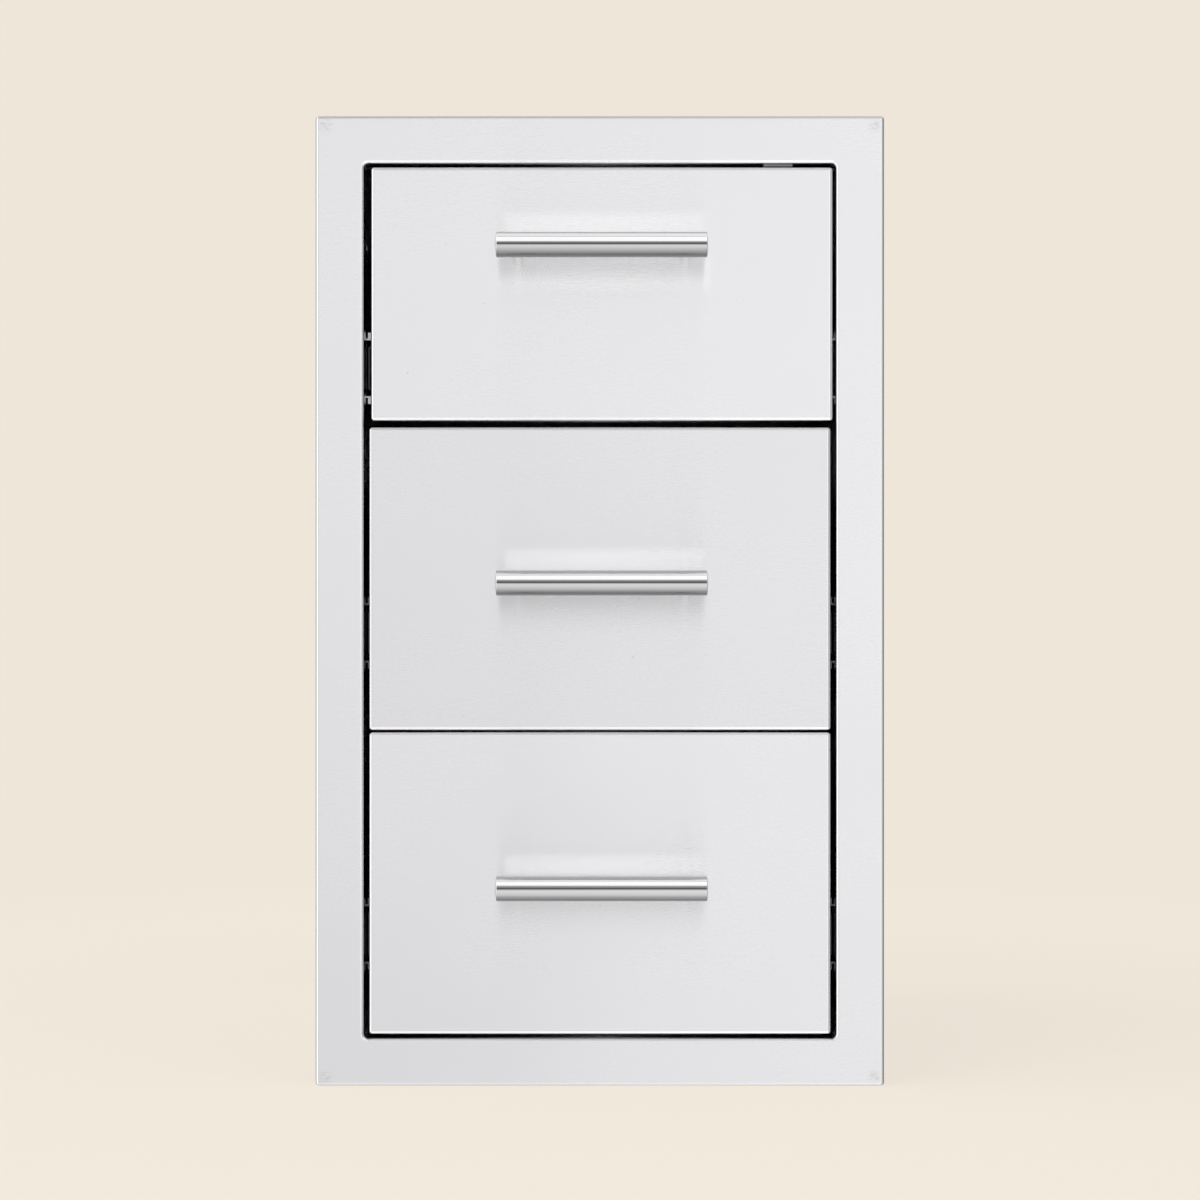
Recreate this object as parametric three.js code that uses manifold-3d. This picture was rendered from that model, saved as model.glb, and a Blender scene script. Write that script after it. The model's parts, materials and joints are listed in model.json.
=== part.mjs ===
// A built-in drawer unit for an outdoor kitchen: three drawers in a stainless steel case behind a raised face frame.
// Units are millimetres. +X is to the right of someone facing the drawers, +Y runs back into the wall and +Z is up.
// The origin is the middle of the bottom strip of the frame's rear lip: y = 0 is the wall that the lip bears on.

import * as THREE from "three";
import { mergeVertices } from "three/addons/utils/BufferGeometryUtils.js";
import Module from "manifold-3d";

const wasm = await Module();
wasm.setup();

// Drawer fronts: folded pans, one above the other in the opening of the frame
const frontWidth = 351;
const topFrontHeight = 192.8;
const middleFrontHeight = 230.2;
const bottomFrontHeight = 229.4;
const frontDepth = 19;
const frontSheet = 1.2;
const frontBend = 2.2;
const frontCorner = 2.5;
const frontHem = 14;
const topFrontShift = 1.5;
const linerSheet = 1;
const linerMargin = 5;

// Gaps round the fronts
const sideGap = 3.7;
const topGap = 2.8;
const upperGap = 4.7;
const lowerGap = 1.5;
const bottomGap = 3.2;

// Face frame: a channel round the opening, with a lip against the wall and a return into the case
const sideBorder = 36.7;
const endBorder = 36;
const frameProud = 12.7;
const returnDepth = 25;
const frameSheet = 1.2;
const frameBend = 2.6;
const frameCorner = 2.9;
const wallLip = 12;
const openingCorner = 3.5;

// Bumper pad under the frame's top return
const padWidth = 22;
const padThickness = 1.7;
const padLength = 14;
const padSetBack = 3;
const padInset = 43.7;

// Case behind the frame
const caseSheet = 1.2;
const caseStart = 0.5;
const caseFlange = 15;
const fixingHoleRadius = 2.6;
const fixingHoleInset = 24;
const fixingHoleMargin = 60;
const rearRoom = 37.2;

// Drawer tubs: folded walls on a floor sheet, their rim hemmed flat against the inside
const tubSheet = 1;
const tubRim = 2;
const tubHem = 9;
const tubLift = 12;
const topTubDrop = 30.8;
const middleTubDrop = 38.6;
const bottomTubDrop = 37.4;
const tubEndRoom = 1;

// Ball-bearing slides: a rail on the case, a centre rail, and a rail on the tub
const slideLength = 457;
const slideWidth = 12.7;
const slideHeight = 45.5;
const slideSetBack = 1.5;
const railSheet = 1.2;
const railEdge = 0.6;
const railLip = 1.3;
const railTipRoom = 2.1;
const topSlideLift = 42;
const middleSlideLift = 73.6;
const bottomSlideLift = 73.4;

// Ball cages between the rails
const cageLength = 200;
const cageSheet = 0.7;
const cageGap = 0.4;
const cageReach = 1;
const outerBallRadius = 2;
const innerBallRadius = 1.6;
const ballGap = 0.35;
const ballsPerRow = 4;

// Bar handles on two posts
const barLength = 160;
const barRadius = 9.5;
const barCrown = 2.6;
const barStandOff = 38;
const barShift = 1.4;
const topBarDrop = 63.6;
const middleBarLift = 111.7;
const bottomBarLift = 114.5;
const postSpacing = 128;
const postRadius = 5;
const collarRadius = 7;
const collarLength = 2.5;
const screwHoleRadius = 2.1;
const tapRadius = 1.7;
const tapDepth = 15;

// Clearances, cuts and facets
const seatGap = 0.3;
const overrun = 2;
const weld = 1e-4;
const bendFacets = 3;
const cornerFacets = 2;
const barFacets = 20;
const crownFacets = 3;
const roundFacets = 12;

// Frame and opening
const openingWidth = frontWidth + 2 * sideGap;
const openingHeight =
  topGap + topFrontHeight + upperGap + middleFrontHeight + lowerGap + bottomFrontHeight + bottomGap;
const frameWidth = openingWidth + 2 * sideBorder;
const frameHeight = openingHeight + 2 * endBorder;
const openingBottom = endBorder - wallLip / 2;
const openingTop = openingBottom + openingHeight;
const openingMiddle = (openingBottom + openingTop) / 2;
const faceY = -frameProud;
const returnBackY = faceY + returnDepth;
const returnWidth = openingWidth + 2 * frameSheet;
const returnHeight = openingHeight + 2 * frameSheet;

// Case
const sideInnerX = returnWidth / 2 + seatGap;
const sideOuterX = sideInnerX + caseSheet;
const sideBottom = openingMiddle - returnHeight / 2;
const sideTop = openingMiddle + returnHeight / 2;

// Fronts, tubs and handles, from the face back
const frontBackY = faceY + frontDepth;
const linerFrontY = frontBackY + seatGap;
const linerBackY = linerFrontY + linerSheet;
const tubFrontY = linerBackY + seatGap;
const slideFrontY = returnBackY + slideSetBack;
const slideBackY = slideFrontY + slideLength;
const tubBackY = slideBackY - tubEndRoom;
const caseDepth = slideBackY + rearRoom;
const tubHalfWidth = sideInnerX - slideWidth;
const barY = faceY - barStandOff;

// Layers of a slide. u is a distance from the side panel towards the tub, and v a height above the slide's middle.
const caseRailU = seatGap;
const outerCageU = caseRailU + railSheet + seatGap;
const centreRailU = outerCageU + cageSheet + cageGap;
const innerCageU = centreRailU + railSheet + cageGap;
const tubRailTipU = innerCageU + cageSheet + cageGap;
const tubRailU = slideWidth - seatGap;
const caseRailTipU = slideWidth - railTipRoom;
const centreRailTipU = caseRailTipU - seatGap;
const outerBallU = (outerCageU + cageSheet + centreRailTipU - railSheet) / 2;
const innerBallU = (innerCageU + cageSheet + centreRailTipU - railSheet) / 2;
const caseRailV = slideHeight / 2;
const outerBallV = caseRailV - railSheet - ballGap - outerBallRadius;
const centreRailV = outerBallV - outerBallRadius - ballGap;
const innerBallV = centreRailV - railSheet - ballGap - innerBallRadius;
const tubRailV = innerBallV - innerBallRadius - ballGap;
const cageFrontY = slideFrontY + (slideLength - cageLength) / 2;

// The three drawers, from the top down
const bottomFrontZ = openingBottom + bottomGap;
const middleFrontZ = bottomFrontZ + bottomFrontHeight + lowerGap;
const topFrontZ = middleFrontZ + middleFrontHeight + upperGap;
const drawers = [
  {
    name: "top",
    frontZ: topFrontZ,
    frontHeight: topFrontHeight,
    frontShift: topFrontShift,
    tubHeight: topFrontHeight - tubLift - topTubDrop,
    slideZ: topFrontZ + topSlideLift,
    barZ: topFrontZ + topFrontHeight - topBarDrop,
  },
  {
    name: "middle",
    frontZ: middleFrontZ,
    frontHeight: middleFrontHeight,
    frontShift: 0,
    tubHeight: middleFrontHeight - tubLift - middleTubDrop,
    slideZ: middleFrontZ + middleSlideLift,
    barZ: middleFrontZ + middleBarLift,
  },
  {
    name: "bottom",
    frontZ: bottomFrontZ,
    frontHeight: bottomFrontHeight,
    frontShift: 0,
    tubHeight: bottomFrontHeight - tubLift - bottomTubDrop,
    slideZ: bottomFrontZ + bottomSlideLift,
    barZ: bottomFrontZ + bottomBarLift,
  },
];

// Materials
const metal = (color, roughness) => new THREE.MeshStandardMaterial({ color, roughness, metalness: 1 });
const brushedSteel = metal(0xe6e5e7, 0.32);
const sheetSteel = metal(0xc9cacc, 0.42);
const barSteel = metal(0xdedfe0, 0.2);
const zincSteel = metal(0xb9bcc0, 0.36);
const cageSteel = metal(0x9a9890, 0.45);
const padRubber = new THREE.MeshStandardMaterial({ color: 0x8c8f92, roughness: 0.7, metalness: 0 });

// Turns a closed three.js geometry into a solid that can be joined and cut.
function toSolid(geometry) {
  const bare = geometry.index ? geometry.toNonIndexed() : geometry.clone();
  for (const name of Object.keys(bare.attributes)) {
    if (name !== "position") bare.deleteAttribute(name);
  }
  const merged = mergeVertices(bare, weld);
  const vertProperties = merged.attributes.position.array;
  const triVerts = new Uint32Array(merged.index.array);
  return new wasm.Manifold(new wasm.Mesh({ numProp: 3, vertProperties, triVerts }));
}

// Turns a solid back into a three.js geometry.
function toGeometry(solid) {
  const mesh = solid.getMesh();
  const geometry = new THREE.BufferGeometry();
  geometry.setAttribute("position", new THREE.BufferAttribute(mesh.vertProperties, mesh.numProp));
  geometry.setIndex(new THREE.BufferAttribute(mesh.triVerts, 1));
  geometry.computeVertexNormals();
  return geometry;
}

// A block from its ranges along X, Y and Z.
function block([x0, x1], [y0, y1], [z0, z1]) {
  const box = new THREE.BoxGeometry(x1 - x0, y1 - y0, z1 - z0);
  return toSolid(box.translate((x0 + x1) / 2, (y0 + y1) / 2, (z0 + z1) / 2));
}

// A round rod along Y.
function rod(radius, x, z, [y0, y1]) {
  const cylinder = new THREE.CylinderGeometry(radius, radius, y1 - y0, roundFacets);
  return toSolid(cylinder.translate(x, (y0 + y1) / 2, z));
}

// An outline in X and Z, extruded along Y.
function extruded(outline, [y0, y1]) {
  const geometry = new THREE.ExtrudeGeometry(outline, { depth: y1 - y0, bevelEnabled: false });
  return toSolid(geometry.rotateX(Math.PI / 2).translate(0, y1, 0));
}

// A rectangle round the origin, as an outline or a hole, with rounded corners where corner is over zero.
function rectangle(Kind, [width, height], corner = 0) {
  const outline = new Kind();
  const x = width / 2 - corner;
  const z = height / 2 - corner;
  const quarter = Math.PI / 2;
  if (corner > 0) {
    outline.absarc(x, z, corner, 0, quarter, false);
    outline.absarc(-x, z, corner, quarter, 2 * quarter, false);
    outline.absarc(-x, -z, corner, 2 * quarter, 3 * quarter, false);
    outline.absarc(x, -z, corner, 3 * quarter, 4 * quarter, false);
    outline.closePath();
  } else {
    outline.setFromPoints([[x, z], [-x, z], [-x, -z], [x, -z]].map((point) => new THREE.Vector2(...point)));
  }
  return outline;
}

// A plate whose front edges are bent round with a radius. With an opening it is a ring, bent round that as well.
function bentPlate({ size, corner, bend, opening, openingCorner, x = 0, z, frontY, backY }) {
  const outline = rectangle(THREE.Shape, size, corner);
  if (opening) outline.holes.push(rectangle(THREE.Path, opening, openingCorner));
  const geometry = new THREE.ExtrudeGeometry(outline, {
    depth: backY - frontY,
    curveSegments: cornerFacets,
    bevelSize: bend,
    bevelOffset: -bend,
    bevelThickness: bend,
    bevelSegments: bendFacets,
  });
  // The extrusion is bent at both ends, so its rear end is left behind backY and cut off there.
  geometry.rotateX(Math.PI / 2).translate(x, backY + bend, z);
  const halfWidth = size[0] / 2 + overrun;
  const halfHeight = size[1] / 2 + overrun;
  const behind = block(
    [x - halfWidth, x + halfWidth],
    [backY, backY + 2 * bend + overrun],
    [z - halfHeight, z + halfHeight],
  );
  return toSolid(geometry).subtract(behind);
}

// A ring between a rectangle and the frame's returns, centred on the opening, along Y.
function ringRoundReturns(outerSize, [y0, y1]) {
  const outline = rectangle(THREE.Shape, outerSize);
  outline.holes.push(rectangle(THREE.Path, [returnWidth, returnHeight], openingCorner + frameSheet));
  const geometry = new THREE.ExtrudeGeometry(outline, {
    depth: y1 - y0,
    curveSegments: cornerFacets,
    bevelEnabled: false,
  });
  return toSolid(geometry.rotateX(Math.PI / 2).translate(0, y1, openingMiddle));
}

// The section of a rail or a cage: a web at webU with a flange at top and bottom that reaches to tipU, and a lip
// that turns in at each flange's tip. It is drawn on the right-hand side of the case.
function channelSection({ webU, tipU, halfHeight, sheet, lip = 0, edge = 0 }) {
  const inwards = Math.sign(tipU - webU);
  const inside = halfHeight - sheet;
  const lipU = tipU - inwards * sheet;
  const hook = lip > 0 ? [[lipU, inside], [lipU, inside - lip], [tipU, inside - lip]] : [[tipU, inside]];
  const rim = edge > 0 ? [[tipU, halfHeight - edge], [tipU - inwards * edge, halfHeight]] : [[tipU, halfHeight]];
  const heel =
    edge > 0 ? [[webU + inwards * edge, halfHeight], [webU, halfHeight - edge]] : [[webU, halfHeight]];
  const upper = [[webU + inwards * sheet, inside], ...hook, ...rim, ...heel];
  const lower = upper.map(([u, v]) => [u, -v]).reverse();
  return new THREE.Shape([...upper, ...lower].map(([u, v]) => new THREE.Vector2(sideInnerX - u, v)));
}

// Face frame: the bent ring of the face and its returns, hollowed from behind, with the lip left on the wall.
function faceFrame() {
  const body = bentPlate({
    size: [frameWidth, frameHeight],
    corner: frameCorner,
    bend: frameBend,
    opening: [openingWidth, openingHeight],
    openingCorner,
    z: openingMiddle,
    frontY: faceY,
    backY: returnBackY,
  });
  const hollow = bentPlate({
    size: [frameWidth - 2 * frameSheet, frameHeight - 2 * frameSheet],
    corner: frameCorner - frameSheet,
    bend: frameBend - frameSheet,
    opening: [returnWidth, returnHeight],
    openingCorner: openingCorner + frameSheet,
    z: openingMiddle,
    frontY: faceY + frameSheet,
    backY: -frameSheet,
  });
  const behindWall = [frameWidth + overrun, frameHeight + overrun];
  const insideLip = [frameWidth - 2 * wallLip, frameHeight - 2 * wallLip];
  return body
    .subtract(hollow)
    .subtract(ringRoundReturns(behindWall, [0, returnBackY + overrun]))
    .subtract(ringRoundReturns(insideLip, [-frameSheet - overrun, overrun]));
}

function bumperPad() {
  const frontY = faceY + padSetBack;
  const top = openingTop - seatGap;
  const middle = openingWidth / 2 - padInset;
  return block(
    [middle - padWidth / 2, middle + padWidth / 2],
    [frontY, frontY + padLength],
    [top - padThickness, top],
  );
}

// The right-hand side of the case, with a flange at top and bottom and holes for its fixing screws.
function sidePanel() {
  const flangeX = [sideInnerX - caseFlange, sideOuterX];
  const flangeY = [returnBackY + slideSetBack, caseDepth];
  let panel = block([sideInnerX, sideOuterX], [caseStart, caseDepth], [sideBottom, sideTop])
    .add(block(flangeX, flangeY, [sideBottom, sideBottom + caseSheet]))
    .add(block(flangeX, flangeY, [sideTop - caseSheet, sideTop]));
  const holeLength = caseSheet + 2 * overrun;
  for (const y of [returnBackY + fixingHoleInset, caseDepth - fixingHoleInset]) {
    for (const z of [sideBottom + fixingHoleMargin, sideTop - fixingHoleMargin]) {
      const hole = new THREE.CylinderGeometry(fixingHoleRadius, fixingHoleRadius, holeLength, roundFacets);
      hole.rotateZ(Math.PI / 2).translate((sideInnerX + sideOuterX) / 2, y, z);
      panel = panel.subtract(toSolid(hole));
    }
  }
  return panel;
}

// The top or the bottom of the case, which lies over the flanges of both sides.
function coverPanel(lowZ) {
  return block([-sideOuterX, sideOuterX], [caseStart, caseDepth], [lowZ, lowZ + caseSheet]);
}

// The back of the case: a shallow pan between the sides.
function backPanel() {
  const halfWidth = sideInnerX - seatGap;
  const low = sideBottom + caseSheet + seatGap;
  const high = sideTop - caseSheet - seatGap;
  const pan = block([-halfWidth, halfWidth], [caseDepth - caseFlange, caseDepth], [low, high]);
  const inside = block(
    [-halfWidth + caseSheet, halfWidth - caseSheet],
    [caseDepth - caseFlange - overrun, caseDepth - caseSheet],
    [low + caseSheet, high - caseSheet],
  );
  return pan.subtract(inside);
}

// The holes for the two handle screws through a drawer's front.
function withScrewHoles(solid, drawer) {
  let drilled = solid;
  for (const side of [-1, 1]) {
    const x = barShift + (side * postSpacing) / 2;
    drilled = drilled.subtract(rod(screwHoleRadius, x, drawer.barZ, [faceY - overrun, tubFrontY + tubSheet + overrun]));
  }
  return drilled;
}

// A drawer's front: a bent pan with a hem round its rear.
function frontPanel(drawer) {
  const z = drawer.frontZ + drawer.frontHeight / 2;
  const x = drawer.frontShift;
  const body = bentPlate({
    size: [frontWidth, drawer.frontHeight],
    corner: frontCorner,
    bend: frontBend,
    x,
    z,
    frontY: faceY,
    backY: frontBackY,
  });
  const hollow = bentPlate({
    size: [frontWidth - 2 * frontSheet, drawer.frontHeight - 2 * frontSheet],
    corner: frontCorner - frontSheet,
    bend: frontBend - frontSheet,
    x,
    z,
    frontY: faceY + frontSheet,
    backY: frontBackY - frontSheet,
  });
  const halfWidth = frontWidth / 2 - frontHem;
  const halfHeight = drawer.frontHeight / 2 - frontHem;
  const window = block(
    [x - halfWidth, x + halfWidth],
    [frontBackY - frontSheet - overrun, frontBackY + overrun],
    [z - halfHeight, z + halfHeight],
  );
  return withScrewHoles(body.subtract(hollow).subtract(window), drawer);
}

// The sheet that closes the rear of a drawer's front.
function frontLiner(drawer) {
  const halfWidth = frontWidth / 2 - linerMargin;
  const liner = block(
    [drawer.frontShift - halfWidth, drawer.frontShift + halfWidth],
    [linerFrontY, linerBackY],
    [drawer.frontZ + linerMargin, drawer.frontZ + drawer.frontHeight - linerMargin],
  );
  return withScrewHoles(liner, drawer);
}

// The four walls of a drawer's tub, with a doubled rim round its mouth.
function tubWalls(drawer) {
  const low = drawer.frontZ + tubLift + tubSheet + seatGap;
  const high = drawer.frontZ + tubLift + drawer.tubHeight;
  const body = block([-tubHalfWidth, tubHalfWidth], [tubFrontY, tubBackY], [low, high]);
  const inside = block(
    [-tubHalfWidth + tubSheet, tubHalfWidth - tubSheet],
    [tubFrontY + tubSheet, tubBackY - tubSheet],
    [low - overrun, high - tubHem],
  );
  const mouth = block(
    [-tubHalfWidth + tubRim, tubHalfWidth - tubRim],
    [tubFrontY + tubRim, tubBackY - tubRim],
    [high - tubHem - overrun, high + overrun],
  );
  return withScrewHoles(body.subtract(inside).subtract(mouth), drawer);
}

// The sheet under a tub's walls.
function tubFloor(drawer) {
  const low = drawer.frontZ + tubLift;
  return block([-tubHalfWidth, tubHalfWidth], [tubFrontY, tubBackY], [low, low + tubSheet]);
}

// A handle's bar: a round bar along X with a shallow crown on each end, radius over the bar's own by gap.
function barSolid(drawer, gap = 0) {
  const radius = barRadius + gap;
  const crownRadius = (barCrown ** 2 + barRadius ** 2) / (2 * barCrown);
  const crownAngle = Math.asin(barRadius / crownRadius);
  const crown = [];
  for (let i = 0; i < crownFacets; i++) {
    const angle = (crownAngle * i) / crownFacets;
    crown.push([crownRadius * Math.sin(angle), barLength / 2 - crownRadius * (1 - Math.cos(angle))]);
  }
  crown.push([radius, barLength / 2 - barCrown]);
  const points = [...crown.map(([r, along]) => [r, -along]), ...crown.reverse()];
  const geometry = new THREE.LatheGeometry(
    points.map(([r, along]) => new THREE.Vector2(r, along)),
    barFacets,
  );
  return toSolid(geometry.rotateZ(-Math.PI / 2).translate(barShift, barY, drawer.barZ));
}

// A handle's post, with a collar on the front panel, a saddle for the bar and a tapped hole for its screw.
function handlePost(drawer, side) {
  const x = barShift + (side * postSpacing) / 2;
  const baseY = faceY - seatGap;
  return rod(postRadius, x, drawer.barZ, [barY, baseY])
    .add(rod(collarRadius, x, drawer.barZ, [baseY - collarLength, baseY]))
    .subtract(barSolid(drawer, seatGap))
    .subtract(rod(tapRadius, x, drawer.barZ, [baseY - tapDepth, baseY + overrun]));
}

// One rail of a slide.
function rail(drawer, section) {
  return extruded(channelSection(section), [slideFrontY, slideBackY]).translate([0, 0, drawer.slideZ]);
}

// A cage: a thin channel with balls set in its flanges.
function ballCage(drawer, { webU, ballU, ballV, ballRadius }) {
  const section = {
    webU,
    tipU: ballU + ballRadius + cageReach,
    halfHeight: ballV + cageSheet / 2,
    sheet: cageSheet,
  };
  let cage = extruded(channelSection(section), [cageFrontY, cageFrontY + cageLength]);
  const pitch = cageLength / ballsPerRow;
  for (let i = 0; i < ballsPerRow; i++) {
    for (const side of [-1, 1]) {
      const ball = new THREE.IcosahedronGeometry(ballRadius);
      ball.translate(sideInnerX - ballU, cageFrontY + (i + 1 / 2) * pitch, side * ballV);
      cage = cage.add(toSolid(ball));
    }
  }
  return cage.translate([0, 0, drawer.slideZ]);
}

// The sections of the slides' pieces, by name.
const railSections = {
  case_rail: {
    webU: caseRailU,
    tipU: caseRailTipU,
    halfHeight: caseRailV,
    sheet: railSheet,
    lip: railLip,
    edge: railEdge,
  },
  centre_rail: {
    webU: centreRailU,
    tipU: centreRailTipU,
    halfHeight: centreRailV,
    sheet: railSheet,
    lip: railLip,
    edge: railEdge,
  },
  tub_rail: { webU: tubRailU, tipU: tubRailTipU, halfHeight: tubRailV, sheet: railSheet, edge: railEdge },
};
const cageSections = {
  outer_cage: { webU: outerCageU, ballU: outerBallU, ballV: outerBallV, ballRadius: outerBallRadius },
  inner_cage: { webU: innerCageU, ballU: innerBallU, ballV: innerBallV, ballRadius: innerBallRadius },
};

// The whole unit. A piece drawn on the right is mirrored for the left.
const unit = new THREE.Group();
unit.name = "drawer_unit";

function addPiece(name, solid, material, mirrored = false) {
  const mesh = new THREE.Mesh(toGeometry(solid), material);
  mesh.name = name;
  if (mirrored) mesh.scale.x = -1;
  unit.add(mesh);
}

addPiece("face_frame", faceFrame(), brushedSteel);
addPiece("bumper_pad", bumperPad(), padRubber);
addPiece("side_panel_right", sidePanel(), sheetSteel);
addPiece("side_panel_left", sidePanel(), sheetSteel, true);
addPiece("top_panel", coverPanel(sideTop + seatGap), sheetSteel);
addPiece("bottom_panel", coverPanel(sideBottom - seatGap - caseSheet), sheetSteel);
addPiece("back_panel", backPanel(), sheetSteel);

for (const drawer of drawers) {
  addPiece(`${drawer.name}_front_panel`, frontPanel(drawer), brushedSteel);
  addPiece(`${drawer.name}_front_liner`, frontLiner(drawer), sheetSteel);
  addPiece(`${drawer.name}_tub`, tubWalls(drawer), sheetSteel);
  addPiece(`${drawer.name}_tub_floor`, tubFloor(drawer), sheetSteel);
  addPiece(`${drawer.name}_handle_bar`, barSolid(drawer), barSteel);
  addPiece(`${drawer.name}_handle_post_left`, handlePost(drawer, -1), barSteel);
  addPiece(`${drawer.name}_handle_post_right`, handlePost(drawer, 1), barSteel);
  for (const [side, mirrored] of [["right", false], ["left", true]]) {
    for (const [piece, section] of Object.entries(railSections)) {
      addPiece(`${drawer.name}_${piece}_${side}`, rail(drawer, section), zincSteel, mirrored);
    }
    for (const [piece, section] of Object.entries(cageSections)) {
      addPiece(`${drawer.name}_${piece}_${side}`, ballCage(drawer, section), cageSteel, mirrored);
    }
  }
}

export default unit;
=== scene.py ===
"""Looks of a built-in drawer unit: three brushed steel fronts in a raised frame, on slides in a case.

Sizes in the classes of the unit are millimetres. Meshes are built in millimetres and brought to metres as
each piece is finished. Sizes in the finishes and in the studio are metres.
"""

from __future__ import annotations

import functools
import json
import logging
import math
from dataclasses import dataclass
from enum import Enum
from typing import Any, Iterable, Mapping, Optional, Sequence, Union

import bmesh
import bpy
from bmesh.types import BMEdge, BMesh, BMVert
from mathutils import Matrix, Vector

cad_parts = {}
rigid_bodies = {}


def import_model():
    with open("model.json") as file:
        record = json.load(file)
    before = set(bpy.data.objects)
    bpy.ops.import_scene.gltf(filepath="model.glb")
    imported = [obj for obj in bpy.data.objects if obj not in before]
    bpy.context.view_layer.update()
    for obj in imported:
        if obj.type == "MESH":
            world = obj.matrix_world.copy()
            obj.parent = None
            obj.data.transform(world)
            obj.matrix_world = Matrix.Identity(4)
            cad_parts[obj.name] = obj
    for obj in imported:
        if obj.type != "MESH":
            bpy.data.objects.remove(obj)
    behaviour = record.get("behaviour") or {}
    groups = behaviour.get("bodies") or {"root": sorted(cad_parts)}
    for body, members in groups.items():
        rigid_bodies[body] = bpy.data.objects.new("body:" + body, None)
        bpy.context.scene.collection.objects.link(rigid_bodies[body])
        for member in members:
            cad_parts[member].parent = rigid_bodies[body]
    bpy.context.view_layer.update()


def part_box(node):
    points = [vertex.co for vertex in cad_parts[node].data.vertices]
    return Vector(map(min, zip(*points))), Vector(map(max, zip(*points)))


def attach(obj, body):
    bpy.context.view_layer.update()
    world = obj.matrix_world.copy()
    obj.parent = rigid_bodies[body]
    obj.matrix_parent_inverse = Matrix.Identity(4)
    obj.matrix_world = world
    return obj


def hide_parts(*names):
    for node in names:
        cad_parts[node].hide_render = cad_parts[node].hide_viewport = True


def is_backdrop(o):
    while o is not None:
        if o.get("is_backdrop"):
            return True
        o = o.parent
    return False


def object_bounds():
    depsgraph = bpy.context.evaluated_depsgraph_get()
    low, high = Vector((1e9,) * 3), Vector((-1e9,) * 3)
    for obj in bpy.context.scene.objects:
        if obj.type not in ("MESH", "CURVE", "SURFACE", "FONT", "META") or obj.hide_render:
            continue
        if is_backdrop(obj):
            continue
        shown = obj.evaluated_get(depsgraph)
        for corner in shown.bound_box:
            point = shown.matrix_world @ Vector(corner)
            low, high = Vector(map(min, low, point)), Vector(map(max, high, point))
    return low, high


LOG = logging.getLogger("drawer_unit")

# A millimetre in metres, how near in millimetres two points are one, and from which turn an edge is sharp.
METRES = 0.001
WELD = 1e-4
SHARP_TURN = math.radians(38)
CABINET = "cabinet"

Range = tuple[float, float]
Triple = tuple[float, float, float]
Colour = tuple[float, float, float, float]


# ------------------------------------------------------------------------------------------------
# Named options


class Slot(Enum):
    """The record's material slots."""

    BRUSHED_FRONT = "brushed_front"
    CASE_SHEET = "case_sheet"
    HANDLE_BAR = "handle_bar"
    SLIDE_ZINC = "slide_zinc"
    BALL_CAGE = "ball_cage"
    PAD_RUBBER = "pad_rubber"


class Side(Enum):
    """A side of the unit, as a sign along X."""

    RIGHT = 1
    LEFT = -1

    @property
    def other(self) -> "Side":
        """The opposite side."""
        return Side(-self.value)


class Level(Enum):
    """A drawer's place in the case."""

    TOP = "top"
    MIDDLE = "middle"
    BOTTOM = "bottom"

    @property
    def drawer(self) -> str:
        """The body that slides out at this level."""
        return f"{self.value}_drawer"


# ------------------------------------------------------------------------------------------------
# Shader graphs


class Value:
    """An output socket of a shader node, with which sums are written."""

    def __init__(self, graph: "Graph", socket: bpy.types.NodeSocket) -> None:
        """Keeps the graph and the socket."""
        self.graph = graph
        self.socket = socket

    def __add__(self, other: "Number") -> "Value":
        """Sum."""
        return self.graph.math("ADD", self, other)

    def __radd__(self, other: "Number") -> "Value":
        """Sum, the other way round."""
        return self.graph.math("ADD", other, self)

    def __sub__(self, other: "Number") -> "Value":
        """Difference."""
        return self.graph.math("SUBTRACT", self, other)

    def __rsub__(self, other: "Number") -> "Value":
        """Difference, the other way round."""
        return self.graph.math("SUBTRACT", other, self)

    def __mul__(self, other: "Number") -> "Value":
        """Product."""
        return self.graph.math("MULTIPLY", self, other)

    def __rmul__(self, other: "Number") -> "Value":
        """Product, the other way round."""
        return self.graph.math("MULTIPLY", other, self)

    def __truediv__(self, other: "Number") -> "Value":
        """Quotient."""
        return self.graph.math("DIVIDE", self, other)

    def __pow__(self, other: "Number") -> "Value":
        """Power."""
        return self.graph.math("POWER", self, other)

    def __abs__(self) -> "Value":
        """Size without its sign."""
        return self.graph.math("ABSOLUTE", self, 0.0)


Number = Union[float, Value]
Setting = Union[float, Value, Sequence[float]]


@dataclass(frozen=True)
class Grain:
    """A pattern of smooth noise.

    Attributes:
        scales: how fine it is along X, Y and Z, in steps to a metre.
        detail: how many finer layers it has.
        roughness: how much the finer layers count.
        tone: how far it moves the tone.
        sheen: how far it moves the roughness.
    """

    scales: Triple
    detail: float = 2.0
    roughness: float = 0.5
    tone: float = 0.0
    sheen: float = 0.0


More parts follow.
